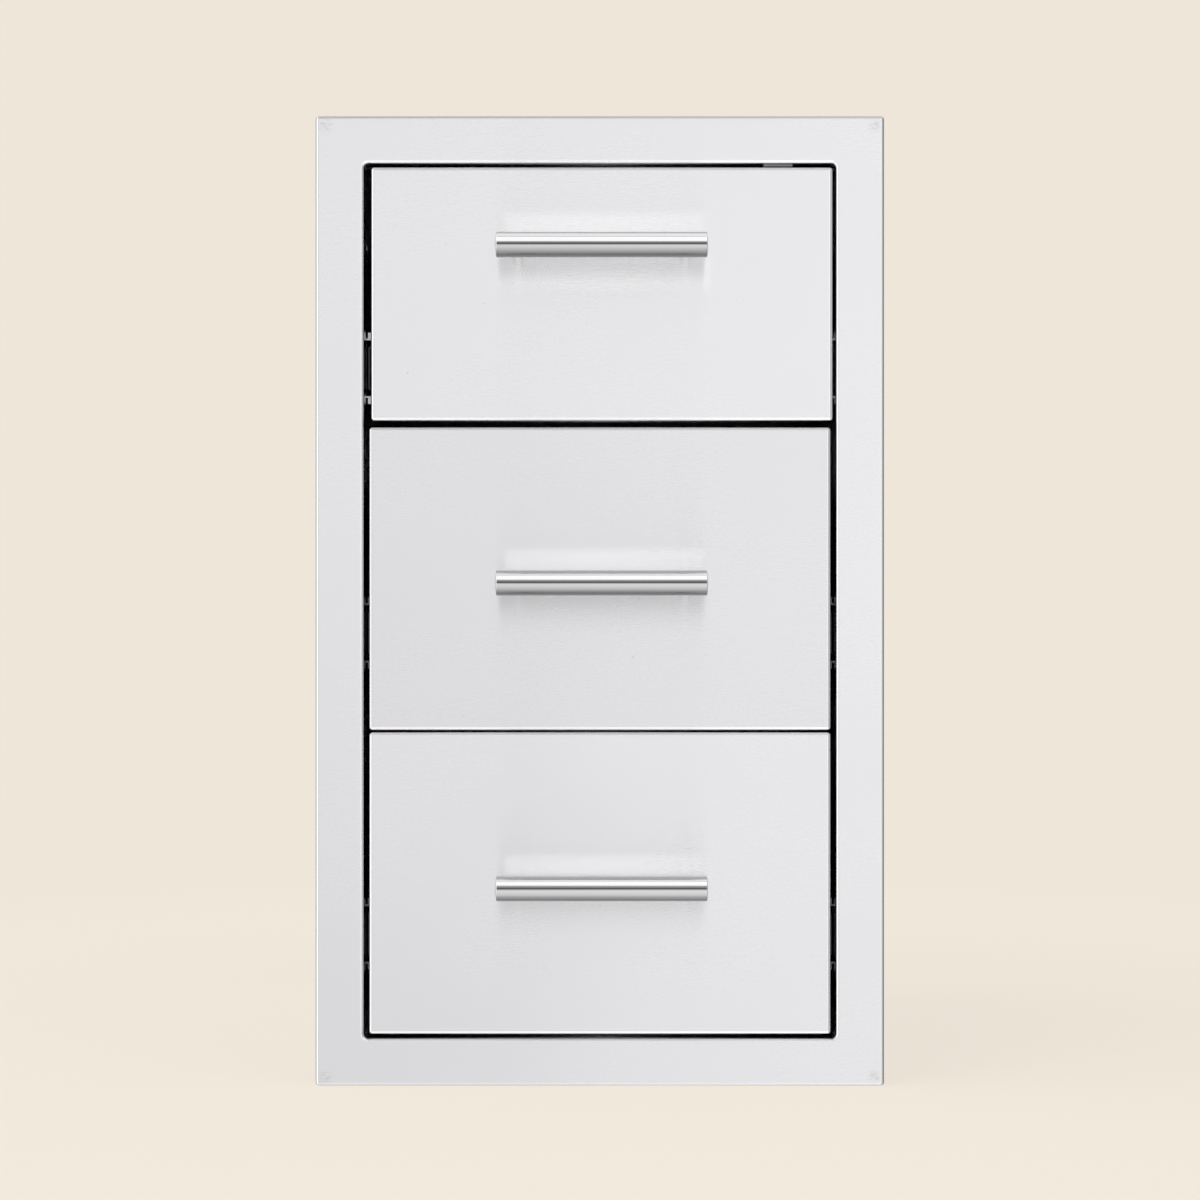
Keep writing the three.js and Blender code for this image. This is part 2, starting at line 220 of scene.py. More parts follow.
class Graph:
    """The node tree of a material or of the world."""

    def __init__(self, tree: bpy.types.NodeTree) -> None:
        """Takes a tree and empties it."""
        self.tree = tree
        tree.nodes.clear()

    def node(
        self,
        kind: str,
        settings: Optional[Mapping[str, Any]] = None,
        sockets: Optional[Mapping[Union[int, str], Setting]] = None,
        output: Union[int, str] = 0,
    ) -> Value:
        """Adds a node.

        Args:
            kind: the node's type.
            settings: the node's own properties, set first.
            sockets: a value or a link for each named input.
            output: the output that is wanted.

        Returns:
            The wanted output, or the node's first input where it has no outputs.
        """
        made = self.tree.nodes.new(kind)
        for name, value in (settings or {}).items():
            setattr(made, name, value)
        for name, value in (sockets or {}).items():
            if isinstance(value, Value):
                self.tree.links.new(value.socket, made.inputs[name])
            else:
                made.inputs[name].default_value = value
        return Value(self, made.outputs[output] if made.outputs else made.inputs[0])

    def math(self, operation: str, first: Number, second: Number) -> Value:
        """A Math node on two numbers."""
        return self.node("ShaderNodeMath", {"operation": operation}, {0: first, 1: second})

    def split(self, vector: Value) -> tuple[Value, Value, Value]:
        """The X, Y and Z of a vector."""
        outputs = self.node("ShaderNodeSeparateXYZ", {}, {"Vector": vector}).socket.node.outputs
        return Value(self, outputs["X"]), Value(self, outputs["Y"]), Value(self, outputs["Z"])

    def place(self) -> Value:
        """Where a point is on the piece, in metres."""
        return self.node("ShaderNodeTexCoord", output="Object")

    def facing(self) -> tuple[Value, Value, Value]:
        """The X, Y and Z of the way that the surface faces."""
        return self.split(self.node("ShaderNodeNewGeometry", output="Normal"))

    def noise(self, place: Value, grain: Grain) -> Value:
        """Smooth noise from 0 to 1.

        Args:
            place: where a point is.
            grain: the pattern.

        Returns:
            The noise there.
        """
        sockets = {0: place, 1: grain.scales}
        stretched = self.node("ShaderNodeVectorMath", {"operation": "MULTIPLY"}, sockets)
        sockets = {
            "Vector": stretched, "Scale": 1.0, "Detail": grain.detail, "Roughness": grain.roughness,
        }
        return self.node("ShaderNodeTexNoise", {"noise_dimensions": "3D"}, sockets)

    def rise(self, value: Value, low: float, high: float) -> Value:
        """A smooth rise from 0 where the value is low to 1 where it is high."""
        sockets = {"Value": value, "From Min": low, "From Max": high, "To Min": 0.0, "To Max": 1.0}
        return self.node("ShaderNodeMapRange", {"interpolation_type": "SMOOTHSTEP"}, sockets)

    def ramp(self, value: Value, stops: Sequence[Range]) -> Value:
        """A grey that follows a value.

        Args:
            value: the value, from 0 to 1.
            stops: places from 0 to 1 in rising order, each with its grey.

        Returns:
            The grey.
        """
        made = self.node("ShaderNodeValToRGB", {}, {"Fac": value})
        elements = made.socket.node.color_ramp.elements
        while len(elements) < len(stops):
            elements.new(1.0)
        for element, (place, level) in zip(elements, stops):
            element.position = place
            element.color = grey(level)
        return made

    def mix(self, factor: Number, first: Union[Value, Colour], second: Union[Value, Colour]) -> Value:
        """A colour from the first, where the factor is 0, to the second, where it is 1."""
        sockets = {0: factor, 6: first, 7: second}
        return self.node("ShaderNodeMix", {"data_type": "RGBA"}, sockets, output=2)

    def bump(self, height: Value, depth: float, strength: float) -> Value:
        """A normal that follows a height from 0 to 1, which stands for a depth in metres."""
        sockets = {"Strength": strength, "Distance": depth, "Height": height}
        return self.node("ShaderNodeBump", {}, sockets)

    def surface(self, sockets: Mapping[Union[int, str], Setting]) -> None:
        """Ends the graph in a Principled shader with these sockets."""
        shader = self.node("ShaderNodeBsdfPrincipled", {}, sockets)
        self.node("ShaderNodeOutputMaterial", {}, {"Surface": shader})


def swayed(middle: Number, *sways: tuple[Value, float]) -> Value:
    """A value that noises move about its middle.

    Args:
        middle: the value's middle.
        sways: the noises, each with how far it moves the value.

    Returns:
        The moved value.
    """
    for noise, reach in sways:
        middle = middle + (noise - 0.5) * reach
    return middle


def grey(level: float, warmth: float = 0.0) -> Colour:
    """A nearly neutral colour, from its linear value and how far red stands over blue."""
    return (level + warmth / 2, level, level - warmth / 2, 1.0)


STEEL_RED = 1.012
STEEL_BLUE = 1.02


def cool(level: float) -> Colour:
    """The slightly blue and violet grey of brushed stainless steel, from its linear value."""
    return (level * STEEL_RED, level, level * STEEL_BLUE, 1.0)


# ------------------------------------------------------------------------------------------------
# Finishes


@dataclass(frozen=True)
class Finish:
    """A finish that pieces are given.

    Attributes:
        name: the material's name.
        slot: the record's slot that it stands for.
    """

    name: str
    slot: Slot

    def dress(self, graph: Graph) -> None:
        """Fills the material's graph."""
        raise NotImplementedError


@functools.lru_cache(maxsize=None)
def material_of(finish: Finish) -> bpy.types.Material:
    """The material of a finish, made once.

    Args:
        finish: the finish.

    Returns:
        Its material.
    """
    material = bpy.data.materials.new(finish.name)
    material.use_nodes = True
    finish.dress(Graph(material.node_tree))
    return material


@dataclass(frozen=True)
class BrushedSteel(Finish):
    """Stainless steel brushed along X.

    Attributes:
        level: the metal's grey.
        spread: how far the grey varies.
        gloss: the mean roughness.
        stretch: how far a highlight is drawn across the grain.
        turn: which way it is drawn, as a share of a full turn.
        corner_x: how far the welded corners lie from the middle along X; 0 for none.
        corner_z: the same along Z.
        middle_z: the height of the middle.
        hair: the finest scratches.
        line: longer scratches.
        cloud: soft patches.
        relief: the shares of the hair and the line in the bump.
        depth: how deep the bump is.
        strength: how much of the bump counts.
        speck: small specks.
        speck_range: where in its noise a speck starts and is full.
        speck_depth: how far a speck darkens the metal.
        weld: the rubbed pattern of a ground weld.
        weld_range: where in its noise the rubbing starts and is full.
        weld_reach: how far from a corner the weld mark starts to fade and ends.
        weld_depth: how far it darkens the metal.
        foot_shade_reach: how far below the corners' height the painted shade along the frame's foot starts and is
            full.
        foot_shade_depth: how far that painted shade darkens the metal.
        blemish_and_shade: the colour of specks, weld marks and the painted shade along the foot.
        mark_sheen: how far marks dull the metal.
        painted_down_range: how far down the surface looks where the painted highlight on downward faces starts and
            is full.
        painted_highlight_level: the grey of that painted highlight.
    """

    level: float = 0.84
    spread: float = 0.035
    gloss: float = 0.27
    stretch: float = 1.0
    turn: float = 0.25
    corner_x: float = 0.0
    corner_z: float = 0.0
    middle_z: float = 0.0
    hair: Grain = Grain((60.0, 60.0, 1900.0), 1.0, tone=0.24, sheen=0.02)
    line: Grain = Grain((16.0, 16.0, 430.0), tone=0.1)
    cloud: Grain = Grain((5.0, 5.0, 7.0), tone=0.8, sheen=0.05)
    relief: Range = (0.85, 0.15)
    depth: float = 0.00002
    strength: float = 0.035
    speck: Grain = Grain((380.0, 380.0, 380.0), 0.0)
    speck_range: Range = (0.885, 0.91)
    speck_depth: float = 0.5
    weld: Grain = Grain((230.0, 230.0, 520.0), 3.0)
    weld_range: Range = (0.35, 0.7)
    weld_reach: Range = (0.001, 0.0075)
    weld_depth: float = 0.3
    foot_shade_reach: Range = (0.005, 0.006)
    foot_shade_depth: float = 0.5
    blemish_and_shade: Colour = grey(0.4, 0.01)
    mark_sheen: float = 0.1
    painted_down_range: Range = (-0.06, -0.3)
    painted_highlight_level: float = 0.97

    def dress(self, graph: Graph) -> None:
        """Makes the grain, clouds, a few specks and the ground weld marks at the corners, with a painted highlight
        where the surface looks down and a painted shade along the frame's foot.

        Args:
            graph: the material's graph.
        """
        place = graph.place()
        hair, line, cloud = (graph.noise(place, grain) for grain in (self.hair, self.line, self.cloud))
        tone = swayed(0.5, (hair, self.hair.tone), (line, self.line.tone), (cloud, self.cloud.tone))
        blemish_and_shade = graph.rise(graph.noise(place, self.speck), *self.speck_range) * self.speck_depth
        if self.corner_x > 0:
            blemish_and_shade = blemish_and_shade + self._welds_and_foot_shade(graph, place)
        _, _, up = graph.facing()
        clean = graph.mix(tone, cool(self.level - self.spread), cool(self.level + self.spread))
        # Faces that look down get a lighter grey: a painted highlight on the downward bends.
        clean = graph.mix(graph.rise(up, *self.painted_down_range), clean, cool(self.painted_highlight_level))
        rough = swayed(self.gloss, (hair, self.hair.sheen), (cloud, self.cloud.sheen))
        relief = hair * self.relief[0] + line * self.relief[1]
        graph.surface(
            {
                "Base Color": graph.mix(blemish_and_shade, clean, self.blemish_and_shade),
                "Metallic": 1.0,
                "Roughness": rough + blemish_and_shade * self.mark_sheen,
                "Anisotropic": self.stretch,
                "Anisotropic Rotation": self.turn,
                "Normal": graph.bump(relief, self.depth, self.strength),
            }
        )

    def _welds_and_foot_shade(self, graph: Graph, place: Value) -> Value:
        """The ground welds at the corners, and a painted shade along the frame's foot.

        Args:
            graph: the material's graph.
            place: where a point is on the piece.

        Returns:
            How far they darken the metal.
        """
        x, _, z = graph.split(place)
        across = (abs(x) - self.corner_x) ** 2.0
        along = (abs(z - self.middle_z) - self.corner_z) ** 2.0
        near = 1.0 - graph.rise((across + along) ** 0.5, *self.weld_reach)
        rub = graph.rise(graph.noise(place, self.weld), *self.weld_range)
        # A painted shade darkens the frame's bottom edge along its foot.
        start, full = self.foot_shade_reach
        foot = graph.rise(self.middle_z - z, self.corner_z + start, self.corner_z + full)
        return near * rub * self.weld_depth + foot * self.foot_shade_depth


@dataclass(frozen=True)
class PolishedSteel(Finish):
    """Steel turned and polished round X, as on a bar.

    Attributes:
        level: the metal's grey.
        spread: how far the grey varies.
        gloss: the mean roughness.
        bottom_shade_share: the share of the grey that is left where the surface looks down, which paints shade on
            a bar's lower side; 1 for a plain finish.
        painted_down_range: how far down the surface looks where that painted shade starts and is full.
        painted_rear_range: how far back it looks where it starts to take the painted greys of the rear.
        painted_rear_rise: how far up it looks where the rear has its painted shade and where its painted
            highlight.
        painted_rear_levels: the greys of that painted shade and painted highlight.
        ring: fine turning lines.
        haze: soft haze.
        depth: how deep the turning lines are.
        strength: how much of their depth counts.
    """

    level: float = 0.72
    spread: float = 0.02
    gloss: float = 0.12
    bottom_shade_share: float = 0.31
    painted_down_range: Range = (0.12, 0.74)
    painted_rear_range: Range = (0.0, 0.4)
    painted_rear_rise: Range = (-0.15, 0.3)
    painted_rear_levels: Range = (0.2, 0.96)
    ring: Grain = Grain((2600.0, 60.0, 60.0), 1.0, tone=0.4, sheen=0.02)
    haze: Grain = Grain((40.0, 160.0, 160.0), 3.0, tone=0.5, sheen=0.05)
    depth: float = 0.000004
    strength: float = 0.3

    def dress(self, graph: Graph) -> None:
        """Makes turning lines and haze, with a painted shade on a bar's lower side and a painted shade and
        highlight on its rear.

        Args:
            graph: the material's graph.
        """
        place = graph.place()
        ring, haze = graph.noise(place, self.ring), graph.noise(place, self.haze)
        tone = swayed(0.5, (ring, self.ring.tone), (haze, self.haze.tone))
        metal = graph.mix(tone, grey(self.level - self.spread, -0.004), grey(self.level + self.spread, -0.002))
        # Painted shade where a bar looks down; on its rear, painted shade low and a painted highlight high.
        if self.bottom_shade_share < 1:
            _, back, up = graph.facing()
            under = grey(self.level * self.bottom_shade_share)
            metal = graph.mix(graph.rise(0.0 - up, *self.painted_down_range), metal, under)
            dark, light = self.painted_rear_levels
            behind = graph.mix(graph.rise(up, *self.painted_rear_rise), grey(dark), grey(light))
            metal = graph.mix(graph.rise(back, *self.painted_rear_range), metal, behind)
        graph.surface(
            {
                "Base Color": metal,
                "Metallic": 1.0,
                "Roughness": swayed(self.gloss, (haze, self.haze.sheen), (ring, self.ring.sheen)),
                "Normal": graph.bump(ring, self.depth, self.strength),
            }
        )


@dataclass(frozen=True)
class MillSheet(Finish):
    """Cold-rolled sheet as it leaves the mill, rolled along Y.

    Attributes:
        level: the metal's grey.
        spread: how far the grey varies.
        gloss: the mean roughness.
        roll: rolling lines.
        cloud: soft clouds.
        rub: rubbed patches.
        rub_range: where in its noise the rubbing starts and is full.
        depth: how deep the rolling lines are.
        strength: how much of their depth counts.
    """

    level: float = 0.66
    spread: float = 0.06
    gloss: float = 0.38
    roll: Grain = Grain((900.0, 12.0, 900.0), tone=0.5)
    cloud: Grain = Grain((9.0, 6.0, 9.0), 4.0, 0.6, tone=0.8, sheen=0.07)
    rub: Grain = Grain((60.0, 22.0, 60.0), 4.0, sheen=0.04)
    rub_range: Range = (0.55, 0.8)
    depth: float = 0.00001
    strength: float = 0.4

    def dress(self, graph: Graph) -> None:
        """Makes rolling lines, soft clouds and rubbed patches.

        Args:
            graph: the material's graph.
        """
        place = graph.place()
        roll, cloud = graph.noise(place, self.roll), graph.noise(place, self.cloud)
        rubbed = graph.rise(graph.noise(place, self.rub), *self.rub_range)
        tone = swayed(0.5, (roll, self.roll.tone), (cloud, self.cloud.tone))
        dark, light = grey(self.level - self.spread), grey(self.level + self.spread, -0.006)
        graph.surface(
            {
                "Base Color": graph.mix(tone, dark, light),
                "Metallic": 1.0,
                "Roughness": swayed(self.gloss, (cloud, self.cloud.sheen)) + rubbed * self.rub.sheen,
                "Normal": graph.bump(roll, self.depth, self.strength),
            }
        )


@dataclass(frozen=True)
class ZincPlate(Finish):
    """Bright zinc plate on the slides' rails.

    Attributes:
        gloss: the mean roughness.
        ends: the grey painted on the faces that look forward, the rails' front edges: a painted highlight on the
            top case rails and a painted shade on the others.
        painted_end_range: how far forward the surface looks where that painted grey starts and is full.
        dark: the plate's darker colour.
        light: its lighter colour.
        mottle: the plate's mottle.
        drawn: drawing lines along Y.
        depth: how deep the drawing lines are.
        strength: how much of their depth counts.
    """

    gloss: float = 0.3
    ends: float = 0.6
    painted_end_range: Range = (0.7, 0.95)
    dark: Colour = (0.52, 0.54, 0.57, 1.0)
    light: Colour = (0.7, 0.72, 0.74, 1.0)
    mottle: Grain = Grain((130.0, 90.0, 130.0), 3.0, tone=1.0, sheen=0.12)
    drawn: Grain = Grain((1500.0, 9.0, 1500.0), 1.0, tone=0.5, sheen=0.08)
    depth: float = 0.00001
    strength: float = 0.5

    def dress(self, graph: Graph) -> None:
        """Makes a cool mottle and drawing lines along Y, and paints the faces that look forward with a set grey,
        which stands for how light falls there.

        Args:
            graph: the material's graph.
        """
        place = graph.place()
        mottle, drawn = graph.noise(place, self.mottle), graph.noise(place, self.drawn)
        tone = swayed(0.5, (mottle, self.mottle.tone), (drawn, self.drawn.tone))
        plate = graph.mix(tone, self.dark, self.light)
        _, back, _ = graph.facing()
        graph.surface(
            {
                "Base Color": graph.mix(graph.rise(0.0 - back, *self.painted_end_range), plate, grey(self.ends)),
                "Metallic": 1.0,
                "Roughness": swayed(self.gloss, (mottle, self.mottle.sheen), (drawn, self.drawn.sheen)),
                "Normal": graph.bump(drawn, self.depth, self.strength),
            }
        )


@dataclass(frozen=True)
class CageStrip(Finish):
    """Dull, oiled steel strip of the ball cages.

    Attributes:
        gloss: the mean roughness of dry strip.
        dry: the colour of dry strip.
        oiled: the colour of oiled strip.
        oil: the patches of oil.
        oil_range: where in its noise the oil starts and is full.
        scratch: scratches along the travel.
        depth: how deep the scratches are.
        strength: how much of their depth counts.
    """

    gloss: float = 0.44
    dry: Colour = (0.43, 0.42, 0.38, 1.0)
    oiled: Colour = (0.24, 0.22, 0.18, 1.0)
    oil: Grain = Grain((160.0, 45.0, 160.0), 3.0, sheen=0.14)
    oil_range: Range = (0.35, 0.75)
    scratch: Grain = Grain((1700.0, 14.0, 1700.0), 1.0, sheen=0.1)
    depth: float = 0.00001
    strength: float = 0.5

    def dress(self, graph: Graph) -> None:
        """Makes oil that darkens the strip in patches, and scratches along the travel.

        Args:
            graph: the material's graph.
        """
        place = graph.place()
        oil = graph.rise(graph.noise(place, self.oil), *self.oil_range)
        scratch = graph.noise(place, self.scratch)
        graph.surface(
            {
                "Base Color": graph.mix(oil, self.dry, self.oiled),
                "Metallic": 1.0,
                "Roughness": swayed(self.gloss - oil * self.oil.sheen, (scratch, self.scratch.sheen)),
                "Normal": graph.bump(scratch, self.depth, self.strength),
            }
        )


@dataclass(frozen=True)
class BearingSteel(Finish):
    """Polished bearing balls with a film of grease.

    Attributes:
        level: the clean metal's grey.
        gloss: its roughness.
        greased: the colour of the grease.
        grease: where the grease clings.
        grease_range: where in its noise the grease starts and is full.
    """

    level: float = 0.72
    gloss: float = 0.08
    greased: Colour = (0.46, 0.42, 0.34, 1.0)
    grease: Grain = Grain((600.0, 600.0, 600.0), sheen=0.25)
    grease_range: Range = (0.5, 0.7)

    def dress(self, graph: Graph) -> None:
        """Makes bright steel, dimmed where grease clings.

        Args:
            graph: the material's graph.
        """
        grease = graph.rise(graph.noise(graph.place(), self.grease), *self.grease_range)
        graph.surface(
            {
                "Base Color": graph.mix(grease, grey(self.level), self.greased),
                "Metallic": 1.0,
                "Roughness": self.gloss + grease * self.grease.sheen,
            }
        )


@dataclass(frozen=True)
class PadRubber(Finish):
    """Grey moulded rubber.

    Attributes:
        gloss: the mean roughness.
        levels: the greys of clean and of dusty rubber.
        pebble: the pebbled skin.
        bloom: the dusty bloom.
        depth: how deep the pebbles are.
        strength: how much of their depth counts.
    """

    gloss: float = 0.62
    levels: Range = (0.2, 0.34)
    pebble: Grain = Grain((2200.0, 2200.0, 2200.0), 1.0)
    bloom: Grain = Grain((180.0, 180.0, 180.0), 3.0, sheen=0.2)
    depth: float = 0.00004
    strength: float = 0.6

    def dress(self, graph: Graph) -> None:
        """Makes a pebbled skin with a dusty bloom.

        Args:
            graph: the material's graph.
        """
        place = graph.place()
        pebble, bloom = graph.noise(place, self.pebble), graph.noise(place, self.bloom)
        clean, dusty = self.levels
        graph.surface(
            {
                "Base Color": graph.mix(bloom, grey(clean), grey(dusty)),
                "Roughness": swayed(self.gloss, (bloom, self.bloom.sheen)),
                "Normal": graph.bump(pebble, self.depth, self.strength),
            }
        )


FRAME_STEEL = BrushedSteel(
    "brushed_frame", Slot.BRUSHED_FRONT, corner_x=0.2085, corner_z=0.361, middle_z=0.3623,
)
FRONT_STEEL = {
    Level.TOP: BrushedSteel("brushed_top_front", Slot.BRUSHED_FRONT),
    # The middle front's lower grey is a painted shade.
    Level.MIDDLE: BrushedSteel("brushed_middle_front", Slot.BRUSHED_FRONT, level=0.8),
    Level.BOTTOM: BrushedSteel("brushed_bottom_front", Slot.BRUSHED_FRONT),
}
BAR_STEEL = PolishedSteel("polished_bar", Slot.HANDLE_BAR)
POST_STEEL = PolishedSteel("polished_post", Slot.HANDLE_BAR, level=0.8, gloss=0.2, bottom_shade_share=1.0)
CASE_STEEL = MillSheet("mill_sheet", Slot.CASE_SHEET)
# The forward faces take a painted highlight on the top case rails and a painted shade on the lower and inner
# rails.
TOP_LIT_ZINC = ZincPlate("zinc_plate", Slot.SLIDE_ZINC, ends=0.9)
LOW_SHADED_ZINC = ZincPlate("low_shaded_zinc_plate", Slot.SLIDE_ZINC, ends=0.2)
INNER_SHADED_ZINC = ZincPlate("inner_shaded_zinc_plate", Slot.SLIDE_ZINC, ends=0.08)
CAGE_STEEL = CageStrip("cage_strip", Slot.BALL_CAGE)
BALL_STEEL = BearingSteel("bearing_steel", Slot.BALL_CAGE)
SCREW_STEEL = PolishedSteel("screw_steel", Slot.SLIDE_ZINC, level=0.66, gloss=0.28, bottom_shade_share=1.0)
RUBBER = PadRubber("pad_rubber", Slot.PAD_RUBBER)


# ------------------------------------------------------------------------------------------------
# Boxes, rings and folds


@dataclass(frozen=True)
class Box:
    """A box in millimetres, such as a CAD node's at rest.

    Attributes:
        low: its lowest corner.
        high: its highest corner.
    """

    low: Vector
    high: Vector

    @classmethod
    def of(cls, node: str) -> "Box":
        """The box of a CAD node."""
        low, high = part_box(node)
        return cls(low / METRES, high / METRES)

    @property
    def middle(self) -> Vector:
        """The box's centre."""
        return (self.low + self.high) / 2

    @property
    def size(self) -> Vector:
        """The box's three sides."""
        return self.high - self.low

    def edge(self, side: Side) -> float:
        """Where the box ends on a side, along X."""
        return self.high.x if side is Side.RIGHT else self.low.x


@dataclass(frozen=True)
class Ring:
    """A rounded rectangle round the Z axis.

    Attributes:
        width: its size along X.
        depth: its size along Y.
        corner: the radius of its corners.
        height: where it lies along Z.
    """

    width: float
    depth: float
    corner: float
    height: float

    def point(self, side_x: int, side_y: int, turn: float) -> Vector:
        """A point of a corner.

        Args:
            side_x: the corner's sign along X.
            side_y: its sign along Y.
            turn: the share of the corner's turn, from its X side to its Y side.

        Returns:
            The point.
        """
        angle = turn * math.pi / 2
        x = self.width / 2 - self.corner * (1 - math.cos(angle))
        y = self.depth / 2 - self.corner * (1 - math.sin(angle))
        return Vector((side_x * x, side_y * y, self.height))


def nested(
    width: float, depth: float, corner: float, least: float, line: Iterable[Sequence[float]],
) -> list[Ring]:
    """Rings at insets from an outline.

    Args:
        width: the outline's size along X.
        depth: its size along Y.
        corner: the radius of its corners.
        least: the least radius that an inset leaves.
        line: the inset and the height of each ring.

    Returns:
        The rings in order.
    """
    return [
        Ring(width - 2 * inset, depth - 2 * inset, max(corner - inset, least), height)
        for inset, height in line
    ]


def bent_line(points: Sequence[Triple], steps: int, lead: float = 0.3) -> list[Vector]:
    """A line through points, each rounded to a radius.

    Args:
        points: two coordinates and the radius of each point; the ends are not rounded.
        steps: how many short lines each bend has.
        lead: how far before and after a bend another point is set, which keeps the flats flat.

    Returns:
        The points of the line in order.
    """
    line = [Vector(points[0][:2])]
    for before, here, after in zip(points, points[1:], points[2:]):
        corner, radius = Vector(here[:2]), here[2]
        arriving = (corner - Vector(before[:2])).normalized()
        leaving = (Vector(after[:2]) - corner).normalized()
        turn = arriving.angle_signed(leaving)
        reach = radius * math.tan(abs(turn) / 2)
        start = corner - arriving * reach
        inwards = (leaving - arriving).normalized()
        centre = corner + inwards * math.hypot(radius, reach)
        lead_in = start - arriving * lead
        if (lead_in - line[-1]).dot(arriving) > WELD:
            line.append(lead_in)
        spoke = start - centre
        for step in range(steps + 1):
            swung = Matrix.Rotation(-turn * step / steps, 2) @ spoke
            if (centre + swung - line[-1]).length > WELD:
                line.append(centre + swung)
        line.append(corner + leaving * (reach + lead))
    end = Vector(points[-1][:2])
    if (end - line[-1]).length < lead:
        line.pop()
    line.append(end)
    return line


def rounded(
    bm: BMesh, geom: Sequence[Union[BMEdge, BMVert]], radius: float, facets: int, affect: str = "EDGES",
) -> None:
    """Rounds edges, or the corners of a flat outline."""
    bmesh.ops.bevel(bm, geom=geom, offset=radius, segments=facets, profile=0.5, affect=affect, material=-1)


def extruded(bm: BMesh, edges: Sequence[BMEdge]) -> tuple[list[BMVert], list[BMEdge]]:
    """Draws faces out of edges.

    Args:
        bm: the mesh.
        edges: the edges to draw out.

    Returns:
        The new vertices and the new edges, which still lie where the old ones are.
    """
    made = bmesh.ops.extrude_edge_only(bm, edges=edges)["geom"]
    verts = [part for part in made if isinstance(part, BMVert)]
    return verts, [part for part in made if isinstance(part, BMEdge)]


class RingSheet:
    """A skin that grows from one rounded rectangle to the next."""

    def __init__(self, rings: Sequence[Ring], facets: int, filled: bool) -> None:
        """Lays the skin.

        Args:
            rings: the rings that it runs through.
            facets: how many short lines each corner has.
            filled: whether the first ring is closed by a face.
        """
        first = rings[0]
        self.bm = bmesh.new()
        self.side_x = self.bm.verts.layers.int.new("side_x")
        self.side_y = self.bm.verts.layers.int.new("side_y")
        self.turn = self.bm.verts.layers.float.new("turn")
        bmesh.ops.create_grid(self.bm, x_segments=1, y_segments=1, size=0.5)
        bmesh.ops.scale(self.bm, verts=self.bm.verts, vec=(first.width, first.depth, 1.0))
        rounded(self.bm, self.bm.verts[:], first.corner, facets, "VERTICES")
        for side_x in (-1, 1):
            for side_y in (-1, 1):
                corner = [v for v in self.bm.verts if v.co.x * side_x > 0 and v.co.y * side_y > 0]
                corner.sort(key=lambda v: abs(v.co.y))
                for order, vert in enumerate(corner):
                    vert[self.side_x], vert[self.side_y] = side_x, side_y
                    vert[self.turn] = order / facets
        self.rim: list[BMEdge] = self.bm.edges[:]
        self._lay(self.bm.verts, first)
        if not filled:
            bmesh.ops.delete(self.bm, geom=self.bm.faces[:], context="FACES_ONLY")
        for ring in rings[1:]:
            verts, self.rim = extruded(self.bm, self.rim)
            self._lay(verts, ring)

    def _lay(self, verts: Iterable[BMVert], ring: Ring) -> None:
        """Moves vertices onto a ring."""
        for vert in verts:
            vert.co = ring.point(vert[self.side_x], vert[self.side_y], vert[self.turn])


def thickened(bm: BMesh, sheet: float, outward: Optional[Triple] = None) -> BMesh:
    """Turns an open skin's faces outwards and gives it thickness on its inner side.

    Args:
        bm: the skin.
        sheet: the thickness.
        outward: the way that the largest face looks, where it has to be said.

    Returns:
        The same mesh, closed.
    """
    bmesh.ops.recalc_face_normals(bm, faces=bm.faces[:])
    largest = max(bm.faces, key=lambda face: face.calc_area())
    if outward and largest.normal.dot(Vector(outward)) < 0:
        bmesh.ops.reverse_faces(bm, faces=bm.faces[:])
    bmesh.ops.solidify(bm, geom=bm.faces[:], thickness=sheet)
    return bm


def folded_strip(
    outline: Sequence[Range], reach: Range, bend: float, sheet: float, outward: Triple, facets: int = 4,
) -> BMesh:
    """A strip of sheet that is folded along Y.

    Args:
        outline: the outer corners in X and Z, from one edge to the other.
        reach: where it starts and ends along Y.
        bend: the outer radius of each fold.
        sheet: the thickness.
        outward: the way that the largest face looks.
        facets: how many flats each fold has.

    Returns:
        The mesh.
    """
    start, end = reach
    bm = bmesh.new()
    verts = [bm.verts.new((x, start, z)) for x, z in outline]
    far, _ = extruded(bm, [bm.edges.new(pair) for pair in zip(verts, verts[1:])])
    bmesh.ops.translate(bm, verts=far, vec=(0.0, end - start, 0.0))
    rounded(bm, [edge for edge in bm.edges if len(edge.link_faces) == 2], bend, facets)
    return thickened(bm, sheet, outward)


def turned(profile: Sequence[Range], steps: int) -> BMesh:
    """A closed shape turned round the Z axis.

    Args:
        profile: radii and heights, from the axis to the axis.
        steps: how many flats go round.

    Returns:
        The mesh.
    """
    bm = bmesh.new()
    verts = [bm.verts.new((radius, 0.0, height)) for radius, height in profile]
    edges = [bm.edges.new(pair) for pair in zip(verts, verts[1:])]
    bmesh.ops.spin(
        bm, geom=verts + edges, cent=(0.0, 0.0, 0.0), axis=(0.0, 0.0, 1.0), angle=2 * math.pi,
        steps=steps, use_merge=True,
    )
    bmesh.ops.remove_doubles(bm, verts=bm.verts[:], dist=WELD)
    bmesh.ops.recalc_face_normals(bm, faces=bm.faces[:])
    return bm


def rounded_block(box: Box, radius: float, facets: int = 3) -> BMesh:
    """A block with rounded edges.

    Args:
        box: the block's box.
        radius: the radius of its edges.
        facets: how many flats each edge has.

    Returns:
        The mesh.
    """
    bm = bmesh.new()
    bmesh.ops.create_cube(bm, size=1.0)
    bmesh.ops.scale(bm, verts=bm.verts, vec=box.size)
    bmesh.ops.translate(bm, verts=bm.verts, vec=box.middle)
    rounded(bm, bm.edges[:], radius, facets)
    return bm


def moved(bm: BMesh, matrix: Matrix) -> BMesh:
    """The same mesh, moved."""
    bmesh.ops.transform(bm, matrix=matrix, verts=bm.verts[:])
    return bm


